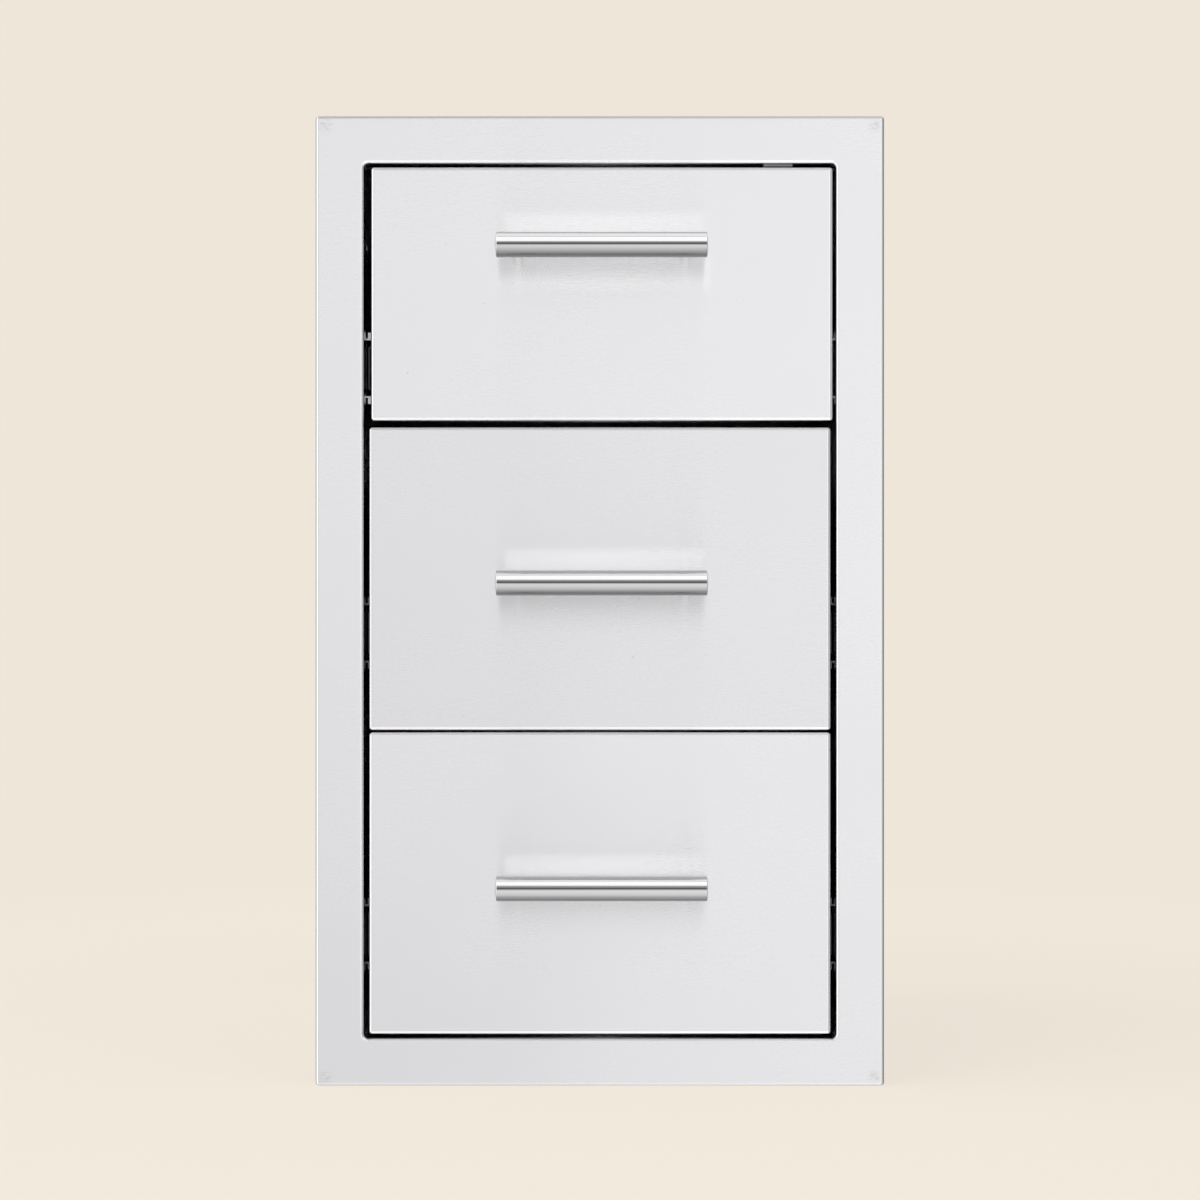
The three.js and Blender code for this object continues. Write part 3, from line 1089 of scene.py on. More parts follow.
def gathered(parts: Iterable[BMesh]) -> BMesh:
    """Several meshes as one.

    Args:
        parts: the meshes, which are used up.

    Returns:
        The whole.
    """
    whole = bmesh.new()
    for part in parts:
        carrier = bpy.data.meshes.new("carrier")
        part.to_mesh(carrier)
        part.free()
        whole.from_mesh(carrier)
        bpy.data.meshes.remove(carrier)
    return whole


def bored(bm: BMesh, cutters: BMesh) -> BMesh:
    """A mesh less the cutters.

    Args:
        bm: the mesh to cut.
        cutters: the closed shapes that are taken out of it.

    Returns:
        A new mesh.
    """
    objects = []
    for part in (bm, cutters):
        mesh = bpy.data.meshes.new("blank")
        part.to_mesh(mesh)
        part.free()
        made = bpy.data.objects.new("blank", mesh)
        bpy.context.scene.collection.objects.link(made)
        objects.append(made)
    blank, tool = objects
    modifier = blank.modifiers.new("holes", "BOOLEAN")
    modifier.object, modifier.operation, modifier.solver = tool, "DIFFERENCE", "EXACT"
    bpy.context.view_layer.update()
    cut = bpy.data.meshes.new_from_object(blank.evaluated_get(bpy.context.evaluated_depsgraph_get()))
    result = bmesh.new()
    result.from_mesh(cut)
    bpy.data.meshes.remove(cut)
    for made in objects:
        mesh = made.data
        bpy.data.objects.remove(made)
        bpy.data.meshes.remove(mesh)
    return result


# How many of a plate's soft edges make its thickness, how many of them its flat face starts inside its
# outline, and how many flats its corners have.
PLATE_EDGES = 5
PLATE_LEADS = 6
PLATE_FACETS = 4


def flat_plate(box: Box, corner: float) -> BMesh:
    """A flat sheet that lies in X and Y, with rounded corners and softened edges.

    Args:
        box: the sheet's box.
        corner: the radius of its corners.

    Returns:
        The mesh.
    """
    soft = box.size.z / PLATE_EDGES
    lead = PLATE_LEADS * soft
    line = (
        (lead, box.high.z), (soft, box.high.z), (0.0, box.high.z - soft),
        (0.0, box.low.z + soft), (soft, box.low.z), (lead, box.low.z),
    )
    rings = [Ring(box.size.x - 2 * inset, box.size.y - 2 * inset, corner, height) for inset, height in line]
    sheet = RingSheet(rings, PLATE_FACETS, filled=True)
    bmesh.ops.holes_fill(sheet.bm, edges=sheet.rim, sides=0)
    bmesh.ops.recalc_face_normals(sheet.bm, faces=sheet.bm.faces[:])
    return moved(sheet.bm, Matrix.Translation((box.middle.x, box.middle.y, 0.0)))


def finish_piece(bm: BMesh, name: str, body: str, finish: Finish, replaces: Sequence[str] = ()) -> None:
    """Makes a piece of a mesh and puts it on its body.

    Args:
        bm: the mesh, in millimetres and in the unit's frame.
        name: the piece's name.
        body: the CAD body that it rides on.
        finish: its finish.
        replaces: the CAD nodes that it stands for.
    """
    bmesh.ops.scale(bm, verts=bm.verts[:], vec=(METRES, METRES, METRES))
    for face in bm.faces:
        face.smooth = True
    for edge in bm.edges:
        edge.smooth = edge.calc_face_angle(0.0) < SHARP_TURN
    mesh = bpy.data.meshes.new(name)
    bm.to_mesh(mesh)
    bm.free()
    for layer in ("side_x", "side_y", "turn"):
        if layer in mesh.attributes:
            mesh.attributes.remove(mesh.attributes[layer])
    piece = bpy.data.objects.new(name, mesh)
    bpy.context.scene.collection.objects.link(piece)
    mesh.materials.append(material_of(finish))
    even = piece.modifiers.new("even_normals", "WEIGHTED_NORMAL")
    even.keep_sharp = True
    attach(piece, body)
    if replaces:
        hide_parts(*replaces)
    LOG.info("%s: %d faces on %s", name, len(mesh.polygons), body)


# A sheet's largest face looks along Z while its rings are laid.
UPWARD = (0.0, 0.0, 1.0)

# These turn a shape that stands on Z so that its Z looks forward, along -Y, or back, along Y.
FORWARD = Matrix.Rotation(math.pi / 2, 4, "X")
BACKWARD = Matrix.Rotation(-math.pi / 2, 4, "X")


def sideways(sign: int = 1) -> Matrix:
    """Turns a shape that stands on Z so that its Z looks along X, or against it for a sign of -1."""
    return Matrix.Rotation(sign * math.pi / 2, 4, "Y")


def set_upright(middle: Vector, turn: Matrix) -> Matrix:
    """Turns a shape with one of the turns above, and brings it to a middle in X and Z."""
    return Matrix.Translation((middle.x, 0.0, middle.z)) @ turn


def facing_web(web: float, tip: float) -> Triple:
    """The way along X that a rail's web looks, away from the tips of its flanges."""
    return (math.copysign(1.0, web - tip), 0.0, 0.0)


# ------------------------------------------------------------------------------------------------
# Face frame and bumper pad


@dataclass
class FaceFrame:
    """The folded ring round the opening, with its rear lip and its return into the case.

    Attributes:
        side_border: the frame's width at the sides.
        end_border: its width at the top and the bottom.
        sheet: the sheet's thickness.
        bend: the outer radius of the front folds.
        rear_bend: that of the fold to the rear lip.
        corner: the radius of the outer corners.
        least_corner: the least radius further in.
        lip: the rear lip's width.
        opening_corner: the radius of the opening's corners.
        flat: how far the folds' rings run into the flat face.
        corner_facets: how many flats a corner has.
        bend_facets: how many flats a fold has.
        pad_round: the radius of the pad's edges.
    """

    side_border: float = 36.7
    end_border: float = 36.0
    sheet: float = 1.2
    bend: float = 2.6
    rear_bend: float = 1.6
    corner: float = 2.9
    least_corner: float = 0.35
    lip: float = 12.0
    opening_corner: float = 3.5
    flat: float = 8.0
    corner_facets: int = 10
    bend_facets: int = 7
    pad_round: float = 0.5

    def build(self) -> None:
        """Builds the frame and the pad under its top return."""
        box = Box.of("face_frame")
        front, rear = -box.low.y, -box.high.y
        outer = bent_line(
            [(self.lip, 0.0, 0.0), (0.0, 0.0, self.rear_bend), (0.0, front, self.bend), (self.flat, front, 0.0)],
            self.bend_facets,
        )
        rings = nested(box.size.x, box.size.z, self.corner, self.least_corner, outer)
        inner = bent_line([(self.flat, front, 0.0), (0.0, front, self.bend), (0.0, rear, 0.0)], self.bend_facets)
        width, depth = box.size.x - 2 * self.side_border, box.size.z - 2 * self.end_border
        inner = [(-offset, height) for offset, height in inner]
        rings += nested(width, depth, self.opening_corner, self.least_corner, inner)
        mesh = thickened(RingSheet(rings, self.corner_facets, filled=False).bm, self.sheet, UPWARD)
        mesh = moved(mesh, set_upright(box.middle, FORWARD))
        finish_piece(mesh, "face_frame_sheet", CABINET, FRAME_STEEL, ["face_frame"])
        pad = rounded_block(Box.of("bumper_pad"), self.pad_round)
        finish_piece(pad, "bumper_pad_rubber", CABINET, RUBBER, ["bumper_pad"])


# ------------------------------------------------------------------------------------------------
# Case


@dataclass
class Case:
    """The sheet case behind the frame.

    Attributes:
        sheet: the sheet's thickness.
        bend: the outer radius of the sides' folds.
        flange_start: where the sides' flanges start behind the frame, along Y.
        return_back: how far back the frame's return reaches.
        hole_radius: the radius of the fixing holes.
        hole_inset: how far they are from the frame's return and from the rear.
        hole_margin: how far they are from the top and the bottom.
        hole_facets: how many flats they have.
        drill: half the length of what bores them.
        notch_round: the radius of the notches' corners.
        plate_corner: the radius of the top's and the bottom's corners.
        pan_corner: the radius of the rear pan's corners.
        least_corner: the least radius further in.
        pan_bend: the outer radius of its folds.
        pan_flat: how far the fold's rings run into its flat face.
        pan_facets: how many flats its corners have.
        pan_bend_facets: how many flats its folds have.
    """

    sheet: float = 1.2
    bend: float = 2.2
    flange_start: float = 13.8
    return_back: float = 12.3
    hole_radius: float = 2.6
    hole_inset: float = 24.0
    hole_margin: float = 60.0
    hole_facets: int = 24
    drill: float = 9.0
    notch_round: float = 0.55
    plate_corner: float = 1.5
    pan_corner: float = 2.4
    least_corner: float = 0.35
    pan_bend: float = 2.2
    pan_flat: float = 12.0
    pan_facets: int = 6
    pan_bend_facets: int = 5

    def build(self) -> None:
        """Builds the five panels."""
        for side in Side:
            self._side_panel(side)
        for name in ("top_panel", "bottom_panel"):
            plate = flat_plate(Box.of(name), self.plate_corner)
            finish_piece(plate, f"{name}_sheet", CABINET, CASE_STEEL, [name])
        self._back_panel()

    def _side_panel(self, side: Side) -> None:
        """Builds a side with its flanges, which are notched behind the frame, and its holes.

        Args:
            side: which side.
        """
        name = f"side_panel_{side.name.lower()}"
        box = Box.of(name)
        outer, inner = box.edge(side), box.edge(side.other)
        low, high = box.low.z, box.high.z
        outline = [(inner, low), (outer, low), (outer, high), (inner, high)]
        mesh = folded_strip(outline, (box.low.y, box.high.y), self.bend, self.sheet, (side.value, 0.0, 0.0))
        cutters = [*self._drills(box, outer), *self._notches(box, side)]
        for cutter in cutters:
            bmesh.ops.recalc_face_normals(cutter, faces=cutter.faces[:])
        mesh = bored(mesh, gathered(cutters))
        finish_piece(mesh, f"{name}_sheet", CABINET, CASE_STEEL, [name])

    def _drills(self, box: Box, outer: float) -> list[BMesh]:
        """What bores a side's fixing holes.

        Args:
            box: the side's box.
            outer: where its outer face is along X.

        Returns:
            One rod for each hole.
        """
        radius, half = self.hole_radius, self.drill
        rod = [(0.0, -half), (radius, -half), (radius, half), (0.0, half)]
        return [
            moved(turned(rod, self.hole_facets), Matrix.Translation((outer, y, z)) @ sideways())
            for y in (self.return_back + self.hole_inset, box.high.y - self.hole_inset)
            for z in (box.low.z + self.hole_margin, box.high.z - self.hole_margin)
        ]

    def _notches(self, box: Box, side: Side) -> list[BMesh]:
        """What cuts a side's flanges away where the frame's return lies.

        Args:
            box: the side's box.
            side: which side.

        Returns:
            One block for each flange.
        """
        depth = self.flange_start - box.low.y
        reach = abs(box.edge(side)) + depth
        mirror = Matrix.Scale(side.value, 4, (1.0, 0.0, 0.0))
        notches = []
        for z in (box.low.z, box.high.z):
            low = Vector((0.0, box.low.y - depth, z - self.bend))
            high = Vector((reach, self.flange_start, z + self.bend))
            notches.append(moved(rounded_block(Box(low, high), self.notch_round), mirror))
        return notches

    def _back_panel(self) -> None:
        """Builds the shallow pan that closes the rear."""
        box = Box.of("back_panel")
        front, rear = box.low.y, box.high.y
        line = bent_line(
            [(self.pan_flat, rear, 0.0), (0.0, rear, self.pan_bend), (0.0, front, 0.0)], self.pan_bend_facets,
        )
        rings = nested(box.size.x, box.size.z, self.pan_corner, self.least_corner, line)
        mesh = thickened(RingSheet(rings, self.pan_facets, filled=True).bm, self.sheet, UPWARD)
        mesh = moved(mesh, set_upright(box.middle, BACKWARD))
        finish_piece(mesh, "back_panel_sheet", CABINET, CASE_STEEL, ["back_panel"])


# ------------------------------------------------------------------------------------------------
# Drawers


@dataclass
class Front:
    """A drawer's folded front and the liner that closes it.

    Attributes:
        level: the drawer.
        sheet: the sheet's thickness.
        bend: the outer radius of the front folds.
        rear_bend: that of the rear folds.
        corner: the radius of the corners.
        least_corner: the least radius further in.
        hem: the rear hem's width.
        flat: how far the folds' rings run into the flat face.
        liner_corner: the radius of the liner's corners.
        corner_facets: how many flats a corner has.
        bend_facets: how many flats a fold has.
    """

    level: Level
    sheet: float = 1.2
    bend: float = 2.9
    rear_bend: float = 1.6
    corner: float = 2.5
    least_corner: float = 0.35
    hem: float = 14.0
    flat: float = 9.0
    liner_corner: float = 2.0
    corner_facets: int = 8
    bend_facets: int = 7

    def build(self) -> None:
        """Builds the pan and its liner."""
        node = f"{self.level.value}_front_panel"
        box = Box.of(node)
        front, rear = -box.low.y, -box.high.y
        line = bent_line(
            [(self.flat, front, 0.0), (0.0, front, self.bend), (0.0, rear, self.rear_bend), (self.hem, rear, 0.0)],
            self.bend_facets,
        )
        rings = nested(box.size.x, box.size.z, self.corner, self.least_corner, line)
        mesh = thickened(RingSheet(rings, self.corner_facets, filled=True).bm, self.sheet, UPWARD)
        mesh = moved(mesh, set_upright(box.middle, FORWARD))
        finish_piece(mesh, f"{self.level.value}_front_pan", self.level.drawer, FRONT_STEEL[self.level], [node])
        self._liner()

    def _liner(self) -> None:
        """Builds the inner sheet that closes the pan."""
        node = f"{self.level.value}_front_liner"
        box = Box.of(node)
        half_x, half_z = box.size.x / 2, box.size.z / 2
        flat = Box(Vector((-half_x, -half_z, -box.high.y)), Vector((half_x, half_z, -box.low.y)))
        mesh = moved(flat_plate(flat, self.liner_corner), set_upright(box.middle, FORWARD))
        finish_piece(mesh, f"{self.level.value}_liner_sheet", self.level.drawer, CASE_STEEL, [node])


@dataclass
class Tub:
    """A drawer's tub: walls folded from one sheet, with a doubled rim, on a floor.

    Attributes:
        level: the drawer.
        sheet: the walls' thickness.
        rim: how wide the doubled rim is.
        hem: how far the rim is folded down.
        bend: the outer radius of the fold to the foot.
        foot: how far the foot runs in over the floor.
        corner: the radius of the corners.
        least_corner: the least radius further in.
        corner_facets: how many flats a corner has.
        bend_facets: how many flats a fold has.
    """

    level: Level
    sheet: float = 0.9
    rim: float = 2.0
    hem: float = 9.0
    bend: float = 2.2
    foot: float = 10.0
    corner: float = 2.6
    least_corner: float = 0.4
    corner_facets: int = 6
    bend_facets: int = 5

    def build(self) -> None:
        """Builds the walls and the floor."""
        level = self.level.value
        walls, floor = Box.of(f"{level}_tub"), Box.of(f"{level}_tub_floor")
        low, top = floor.high.z, walls.high.z
        line = bent_line(
            [
                (self.foot, low, 0.0), (0.0, low, self.bend), (0.0, top, self.rim / 2),
                (self.rim, top, self.rim / 2), (self.rim, top - self.hem, 0.0),
            ],
            self.bend_facets, lead=0.0,
        )
        rings = nested(walls.size.x, walls.size.y, self.corner, self.least_corner, line)
        mesh = thickened(RingSheet(rings, self.corner_facets, filled=False).bm, self.sheet)
        mesh = moved(mesh, Matrix.Translation((walls.middle.x, walls.middle.y, 0.0)))
        finish_piece(mesh, f"{level}_tub_walls", self.level.drawer, CASE_STEEL, [f"{level}_tub"])
        mesh = flat_plate(floor, self.corner)
        finish_piece(mesh, f"{level}_tub_base", self.level.drawer, CASE_STEEL, [f"{level}_tub_floor"])


@dataclass
class BarHandle:
    """A polished bar on two posts.

    Attributes:
        level: the drawer.
        crown: how far the bar's ends bulge.
        rim_round: the radius of their rims.
        land: how far behind the rim the bar's own surface starts.
        crown_facets: how many rings the crown has.
        rim_facets: how many rings the rim has.
        bar_facets: how many flats go round the bar.
        post_facets: how many flats go round a post.
        post_radius: the posts' radius.
        collar_radius: the radius of their collars.
        collar_length: how far the collars stand out.
        collar_round: how wide the collars' chamfers are.
        chamfer: where a chamfer's middle ring lies, as a share of its width.
        weld_flare: how far a post widens at the weld to the bar.
        flare_start: the share of that at the weld's start.
        face: where the front's face is along Y.
    """

    level: Level
    crown: float = 1.4
    rim_round: float = 0.7
    land: float = 1.0
    crown_facets: int = 8
    rim_facets: int = 5
    bar_facets: int = 72
    post_facets: int = 40
    post_radius: float = 4.6
    collar_radius: float = 5.6
    collar_length: float = 2.5
    collar_round: float = 0.6
    chamfer: float = 0.3
    weld_flare: float = 0.7
    flare_start: float = 0.25
    face: float = -12.7

    def build(self) -> None:
        """Builds the bar and both posts."""
        node = f"{self.level.value}_handle_bar"
        bar = Box.of(node)
        radius = bar.size.z / 2
        end = self._end(radius, bar.size.x / 2)
        mesh = turned([*end, *((r, -x) for r, x in reversed(end))], self.bar_facets)
        mesh = moved(mesh, Matrix.Translation(bar.middle) @ sideways())
        finish_piece(mesh, f"{self.level.value}_bar", self.level.drawer, BAR_STEEL, [node])
        for side in Side:
            self._post(side, bar.middle, radius)

    def _end(self, radius: float, half: float) -> list[Range]:
        """The crowned end of the bar.

        Args:
            radius: the bar's radius.
            half: half its length.

        Returns:
            Radii and lengths from the bar's middle, from the axis to the rim.
        """
        bow = (self.crown**2 + radius**2) / (2 * self.crown)
        widest = radius - self.rim_round
        points = []
        for step in range(self.crown_facets + 1):
            r = widest * step / self.crown_facets
            points.append((r, half - bow + math.sqrt(bow**2 - r**2)))
        shoulder = points[-1][1] - self.rim_round
        slope = math.asin(widest / bow)
        for step in range(1, self.rim_facets + 1):
            angle = slope + (math.pi / 2 - slope) * step / self.rim_facets
            r = widest + self.rim_round * (math.sin(angle) - math.sin(slope)) / (1 - math.sin(slope))
            points.append((r, shoulder + self.rim_round * math.cos(angle) / math.cos(slope)))
        points.append((radius, shoulder - self.land))
        return points

    def _post(self, side: Side, bar: Vector, bar_radius: float) -> None:
        """Builds a post with a collar on the front, whose far end is cut to the bar.

        Args:
            side: which post.
            bar: the bar's middle.
            bar_radius: its radius.
        """
        node = f"{self.level.value}_handle_post_{side.name.lower()}"
        box = Box.of(node)
        collar, soft, flare = self.collar_radius, self.collar_round, self.weld_flare
        mid = soft * self.chamfer
        end = self.face - bar.y - bar_radius
        profile = [
            (0.0, 0.0), (collar, 0.0), (collar, self.collar_length - soft),
            (collar - mid, self.collar_length - mid), (collar - soft, self.collar_length),
            (self.post_radius, self.collar_length), (self.post_radius, end - 2 * flare),
            (self.post_radius + flare * self.flare_start, end - flare),
            (self.post_radius + flare, end), (0.0, end),
        ]
        mesh = turned(profile, self.post_facets)
        for vert in mesh.verts:
            if vert.co.z > end - 3 * flare:
                across = min(abs(vert.co.y), bar_radius)
                vert.co.z += bar_radius - math.sqrt(bar_radius**2 - across**2)
        mesh = moved(mesh, Matrix.Translation((box.middle.x, self.face, bar.z)) @ FORWARD)
        finish_piece(mesh, f"{node}_turned", self.level.drawer, POST_STEEL, [node])


# ------------------------------------------------------------------------------------------------
# Slides


@dataclass
class Slide:
    """One ball-bearing slide: three rails and two cages of balls.

    Attributes:
        level: the drawer.
        side: the side that it is on.
        sheet: the rails' thickness.
        lip: how far the flanges of the case rail and the centre rail turn back.
        bend: the outer radius of their folds.
        cage_sheet: the cages' thickness.
        cage_bend: the outer radius of their folds.
        cage_facets: how many flats these have.
        cage_reach: how far a ball stays clear of the tip of a cage's flange.
        outer_ball: the radius of the outer cage's balls.
        inner_ball: that of the inner cage's.
        ball_rounds: how often a ball's faces are divided.
        balls: how many balls a row has.
        tab_inset: how far the case rail's tabs are from its web.
        tab_width: how wide they are.
        tab_reach: how far they stand out beyond the flanges.
        tab_round: the radius of their edges.
    """

    level: Level
    side: Side
    sheet: float = 1.2
    lip: float = 2.5
    bend: float = 1.7
    cage_sheet: float = 0.7
    cage_bend: float = 0.9
    cage_facets: int = 3
    cage_reach: float = 1.0
    outer_ball: float = 2.0
    inner_ball: float = 1.6
    ball_rounds: int = 2
    balls: int = 12
    tab_inset: float = 2.0
    tab_width: float = 4.8
    tab_reach: float = 4.8
    tab_round: float = 0.5

    def build(self) -> None:
        """Builds the rails, then the cages."""
        level, side = self.level.value, self.side.name.lower()
        # Top case rails take a painted highlight on their forward faces, lower ones a painted shade.
        zinc = TOP_LIT_ZINC if self.level is Level.TOP else LOW_SHADED_ZINC
        self._rail(f"{level}_case_rail_{side}", CABINET, zinc, self.lip, tabbed=True)
        self._rail(f"{level}_centre_rail_{side}", f"{level}_centre_rails", INNER_SHADED_ZINC, self.lip)
        self._rail(f"{level}_tub_rail_{side}", self.level.drawer, INNER_SHADED_ZINC)
        self._cage(f"{level}_outer_cage_{side}", f"{level}_outer_cages", self.outer_ball)
        self._cage(f"{level}_inner_cage_{side}", f"{level}_inner_cages", self.inner_ball)

    def _web_and_tip(self, box: Box, web_outside: bool) -> Range:
        """Where the web's outer face and the flanges' tips are along X."""
        outside, inside = box.edge(self.side), box.edge(self.side.other)
        return (outside, inside) if web_outside else (inside, outside)

    def _tabs(self, box: Box) -> list[BMesh]:
        """The tabs at a case rail's front end.

        Args:
            box: the rail's box.

        Returns:
            One tab beyond each flange.
        """
        web, tip = self._web_and_tip(box, True)
        inward = math.copysign(1.0, tip - web)
        across = sorted(web + inward * reach for reach in (self.tab_inset, self.tab_inset + self.tab_width))
        tabs = []
        for flange, outward in ((box.low.z, -1), (box.high.z, 1)):
            along = sorted((flange - outward * self.sheet / 2, flange + outward * self.tab_reach))
            low = Vector((across[0], box.low.y, along[0]))
            high = Vector((across[1], box.low.y + self.sheet, along[1]))
            tabs.append(rounded_block(Box(low, high), self.tab_round))
        return tabs

    def _rail(self, node: str, body: str, finish: Finish, lip: float = 0.0, tabbed: bool = False) -> None:
        """Builds a rolled rail.

        Args:
            node: the solid that it replaces.
            body: what it moves with.
            finish: its finish.
            lip: how far its flanges turn back; 0 for the tub's rail, whose web faces the tub.
            tabbed: whether it has tabs at its front end.
        """
        box = Box.of(node)
        web, tip = self._web_and_tip(box, lip > 0)
        low, high = box.low.z, box.high.z
        outline = [(tip, low), (web, low), (web, high), (tip, high)]
        if lip > 0:
            outline = [(tip, low + lip), *outline, (tip, high - lip)]
        reach = (box.low.y, box.high.y)
        mesh = folded_strip(outline, reach, self.bend, self.sheet, facing_web(web, tip))
        if tabbed:
            mesh = gathered([mesh, *self._tabs(box)])
        finish_piece(mesh, f"{node}_rolled", body, finish, [node])

    def _cage(self, node: str, body: str, ball: float) -> None:
        """Builds a strip and its balls, with a row of them in each flange.

        Args:
            node: the solid that the strip replaces.
            body: what they move with.
            ball: the balls' radius.
        """
        box = Box.of(node)
        web, tip = self._web_and_tip(box, True)
        row = box.size.z / 2 - ball
        half = row + self.cage_sheet / 2
        low, high = box.middle.z - half, box.middle.z + half
        outline = [(tip, low), (web, low), (web, high), (tip, high)]
        reach, outward = (box.low.y, box.high.y), facing_web(web, tip)
        strip = folded_strip(outline, reach, self.cage_bend, self.cage_sheet, outward, self.cage_facets)
        finish_piece(strip, f"{node}_strip", body, CAGE_STEEL, [node])
        pitch = box.size.y / self.balls
        x = tip + math.copysign(ball + self.cage_reach, web - tip)
        spheres = []
        for order in range(self.balls):
            for flange in (-1, 1):
                sphere = bmesh.new()
                bmesh.ops.create_icosphere(sphere, subdivisions=self.ball_rounds, radius=ball)
                centre = (x, box.low.y + (order + 0.5) * pitch, box.middle.z + flange * row)
                spheres.append(moved(sphere, Matrix.Translation(centre)))
        finish_piece(gathered(spheres), f"{node}_balls", body, BALL_STEEL)


# ------------------------------------------------------------------------------------------------
# Fasteners


@dataclass
class Fasteners:
    """Screws and rivets, which have no solids of their own.

    Attributes:
        level: the drawer.
        head_radius: the radius of the case rails' screws.
        head_height: how high their heads are.
        head_rings: the shares of a head's radius and height at each of its rings, going up.
        socket_radius: the radius of a head's socket.
        socket_depth: how deep the socket is.
        socket_sides: how many sides it has.
        rivet_radius: the radius of the tub rails' rivets.
        rivet_height: how high they are.
        rivet_seat: how far inside the tub's box they sit.
        rivet_rings: how many rings a rivet's dome has.
        handle_head_radius: the radius of the handle screws.
        handle_head_height: how high their heads are.
        handle_seat: how far inside the tub's box they sit.
        facets: how many flats go round.
        stations: where screws and rivets are along Y, from the case rail's front end.
    """

    level: Level
    head_radius: float = 3.6
    head_height: float = 1.3
    head_rings: tuple[Range, ...] = ((1.0, 0.55), (0.94, 0.8), (0.82, 0.95), (0.64, 1.0))
    socket_radius: float = 1.5
    socket_depth: float = 0.8
    socket_sides: int = 6
    rivet_radius: float = 3.0
    rivet_height: float = 0.9
    rivet_seat: float = 1.0
    rivet_rings: int = 6
    handle_head_radius: float = 4.0
    handle_head_height: float = 2.6
    handle_seat: float = 0.9
    facets: int = 24
    stations: Triple = (26.0, 236.0, 440.0)

    def build(self) -> None:
        """Builds the screws of the case rails, the rivets of the tub rails and the handle screws."""
        level = self.level.value
        tub = Box.of(f"{level}_tub")
        screws, rivets, handle_screws = [], [], []
        for side in Side:
            suffix = side.name.lower()
            rail = Box.of(f"{level}_case_rail_{suffix}")
            face = Box.of(f"side_panel_{suffix}").edge(side)
            wall = tub.edge(side) - side.value * self.rivet_seat
            for station in self.stations:
                y = rail.low.y + station
                screw = self._screw(self.head_radius, self.head_height)
                place = Matrix.Translation((face, y, rail.middle.z))
                screws.append(moved(screw, place @ sideways(side.value)))
                place = Matrix.Translation((wall, y, rail.middle.z))
                rivets.append(moved(self._rivet(), place @ sideways(-side.value)))
            post = Box.of(f"{level}_handle_post_{suffix}")
            screw = self._screw(self.handle_head_radius, self.handle_head_height)
            place = Matrix.Translation((post.middle.x, tub.low.y + self.handle_seat, post.middle.z))
            handle_screws.append(moved(screw, place @ BACKWARD))
        finish_piece(gathered(screws), f"{level}_rail_screws", CABINET, SCREW_STEEL)
        finish_piece(gathered(rivets), f"{level}_tub_rivets", self.level.drawer, SCREW_STEEL)
        finish_piece(gathered(handle_screws), f"{level}_handle_screws", self.level.drawer, SCREW_STEEL)

    def _rivet(self) -> BMesh:
        """The low dome of a rivet, standing on Z.

        Returns:
            The mesh.
        """
        angles = [math.pi / 2 * step / self.rivet_rings for step in range(self.rivet_rings)]
        dome = [(self.rivet_radius * math.cos(turn), self.rivet_height * math.sin(turn)) for turn in angles]
        return turned([(0.0, 0.0), *dome, (0.0, self.rivet_height)], self.facets)

    def _screw(self, radius: float, height: float) -> BMesh:
        """A pan head with a six-sided socket, standing on Z.

        Args:
            radius: the head's radius.
            height: how high it is.

        Returns:
            The mesh.
        """
        bm = bmesh.new()
        bmesh.ops.create_circle(bm, cap_ends=True, radius=radius, segments=self.facets)
        rim = bm.edges[:]
        for share, lift in self.head_rings:
            verts, rim = extruded(bm, rim)
            for vert in verts:
                flat = vert.co.xy.normalized() * radius * share
                vert.co = (flat.x, flat.y, height * lift)
        known = set(bm.edges)
        bmesh.ops.create_circle(
            bm, cap_ends=False, radius=self.socket_radius, segments=self.socket_sides,
            matrix=Matrix.Translation((0.0, 0.0, height)),
        )
        mouth = [edge for edge in bm.edges if edge not in known]
        bmesh.ops.bridge_loops(bm, edges=rim + mouth)
        verts, foot = extruded(bm, mouth)
        bmesh.ops.translate(bm, verts=verts, vec=(0.0, 0.0, -self.socket_depth))
        bmesh.ops.holes_fill(bm, edges=foot, sides=self.socket_sides)
        bmesh.ops.recalc_face_normals(bm, faces=bm.faces[:])
        return bm


# ------------------------------------------------------------------------------------------------
# Studio


SHEET_FINISHES = (FRAME_STEEL, *FRONT_STEEL.values(), CASE_STEEL)
BAR_FINISHES = (BAR_STEEL, POST_STEEL)
INNER_FINISHES = (CASE_STEEL, TOP_LIT_ZINC, LOW_SHADED_ZINC, INNER_SHADED_ZINC, CAGE_STEEL, BALL_STEEL, SCREW_STEEL)


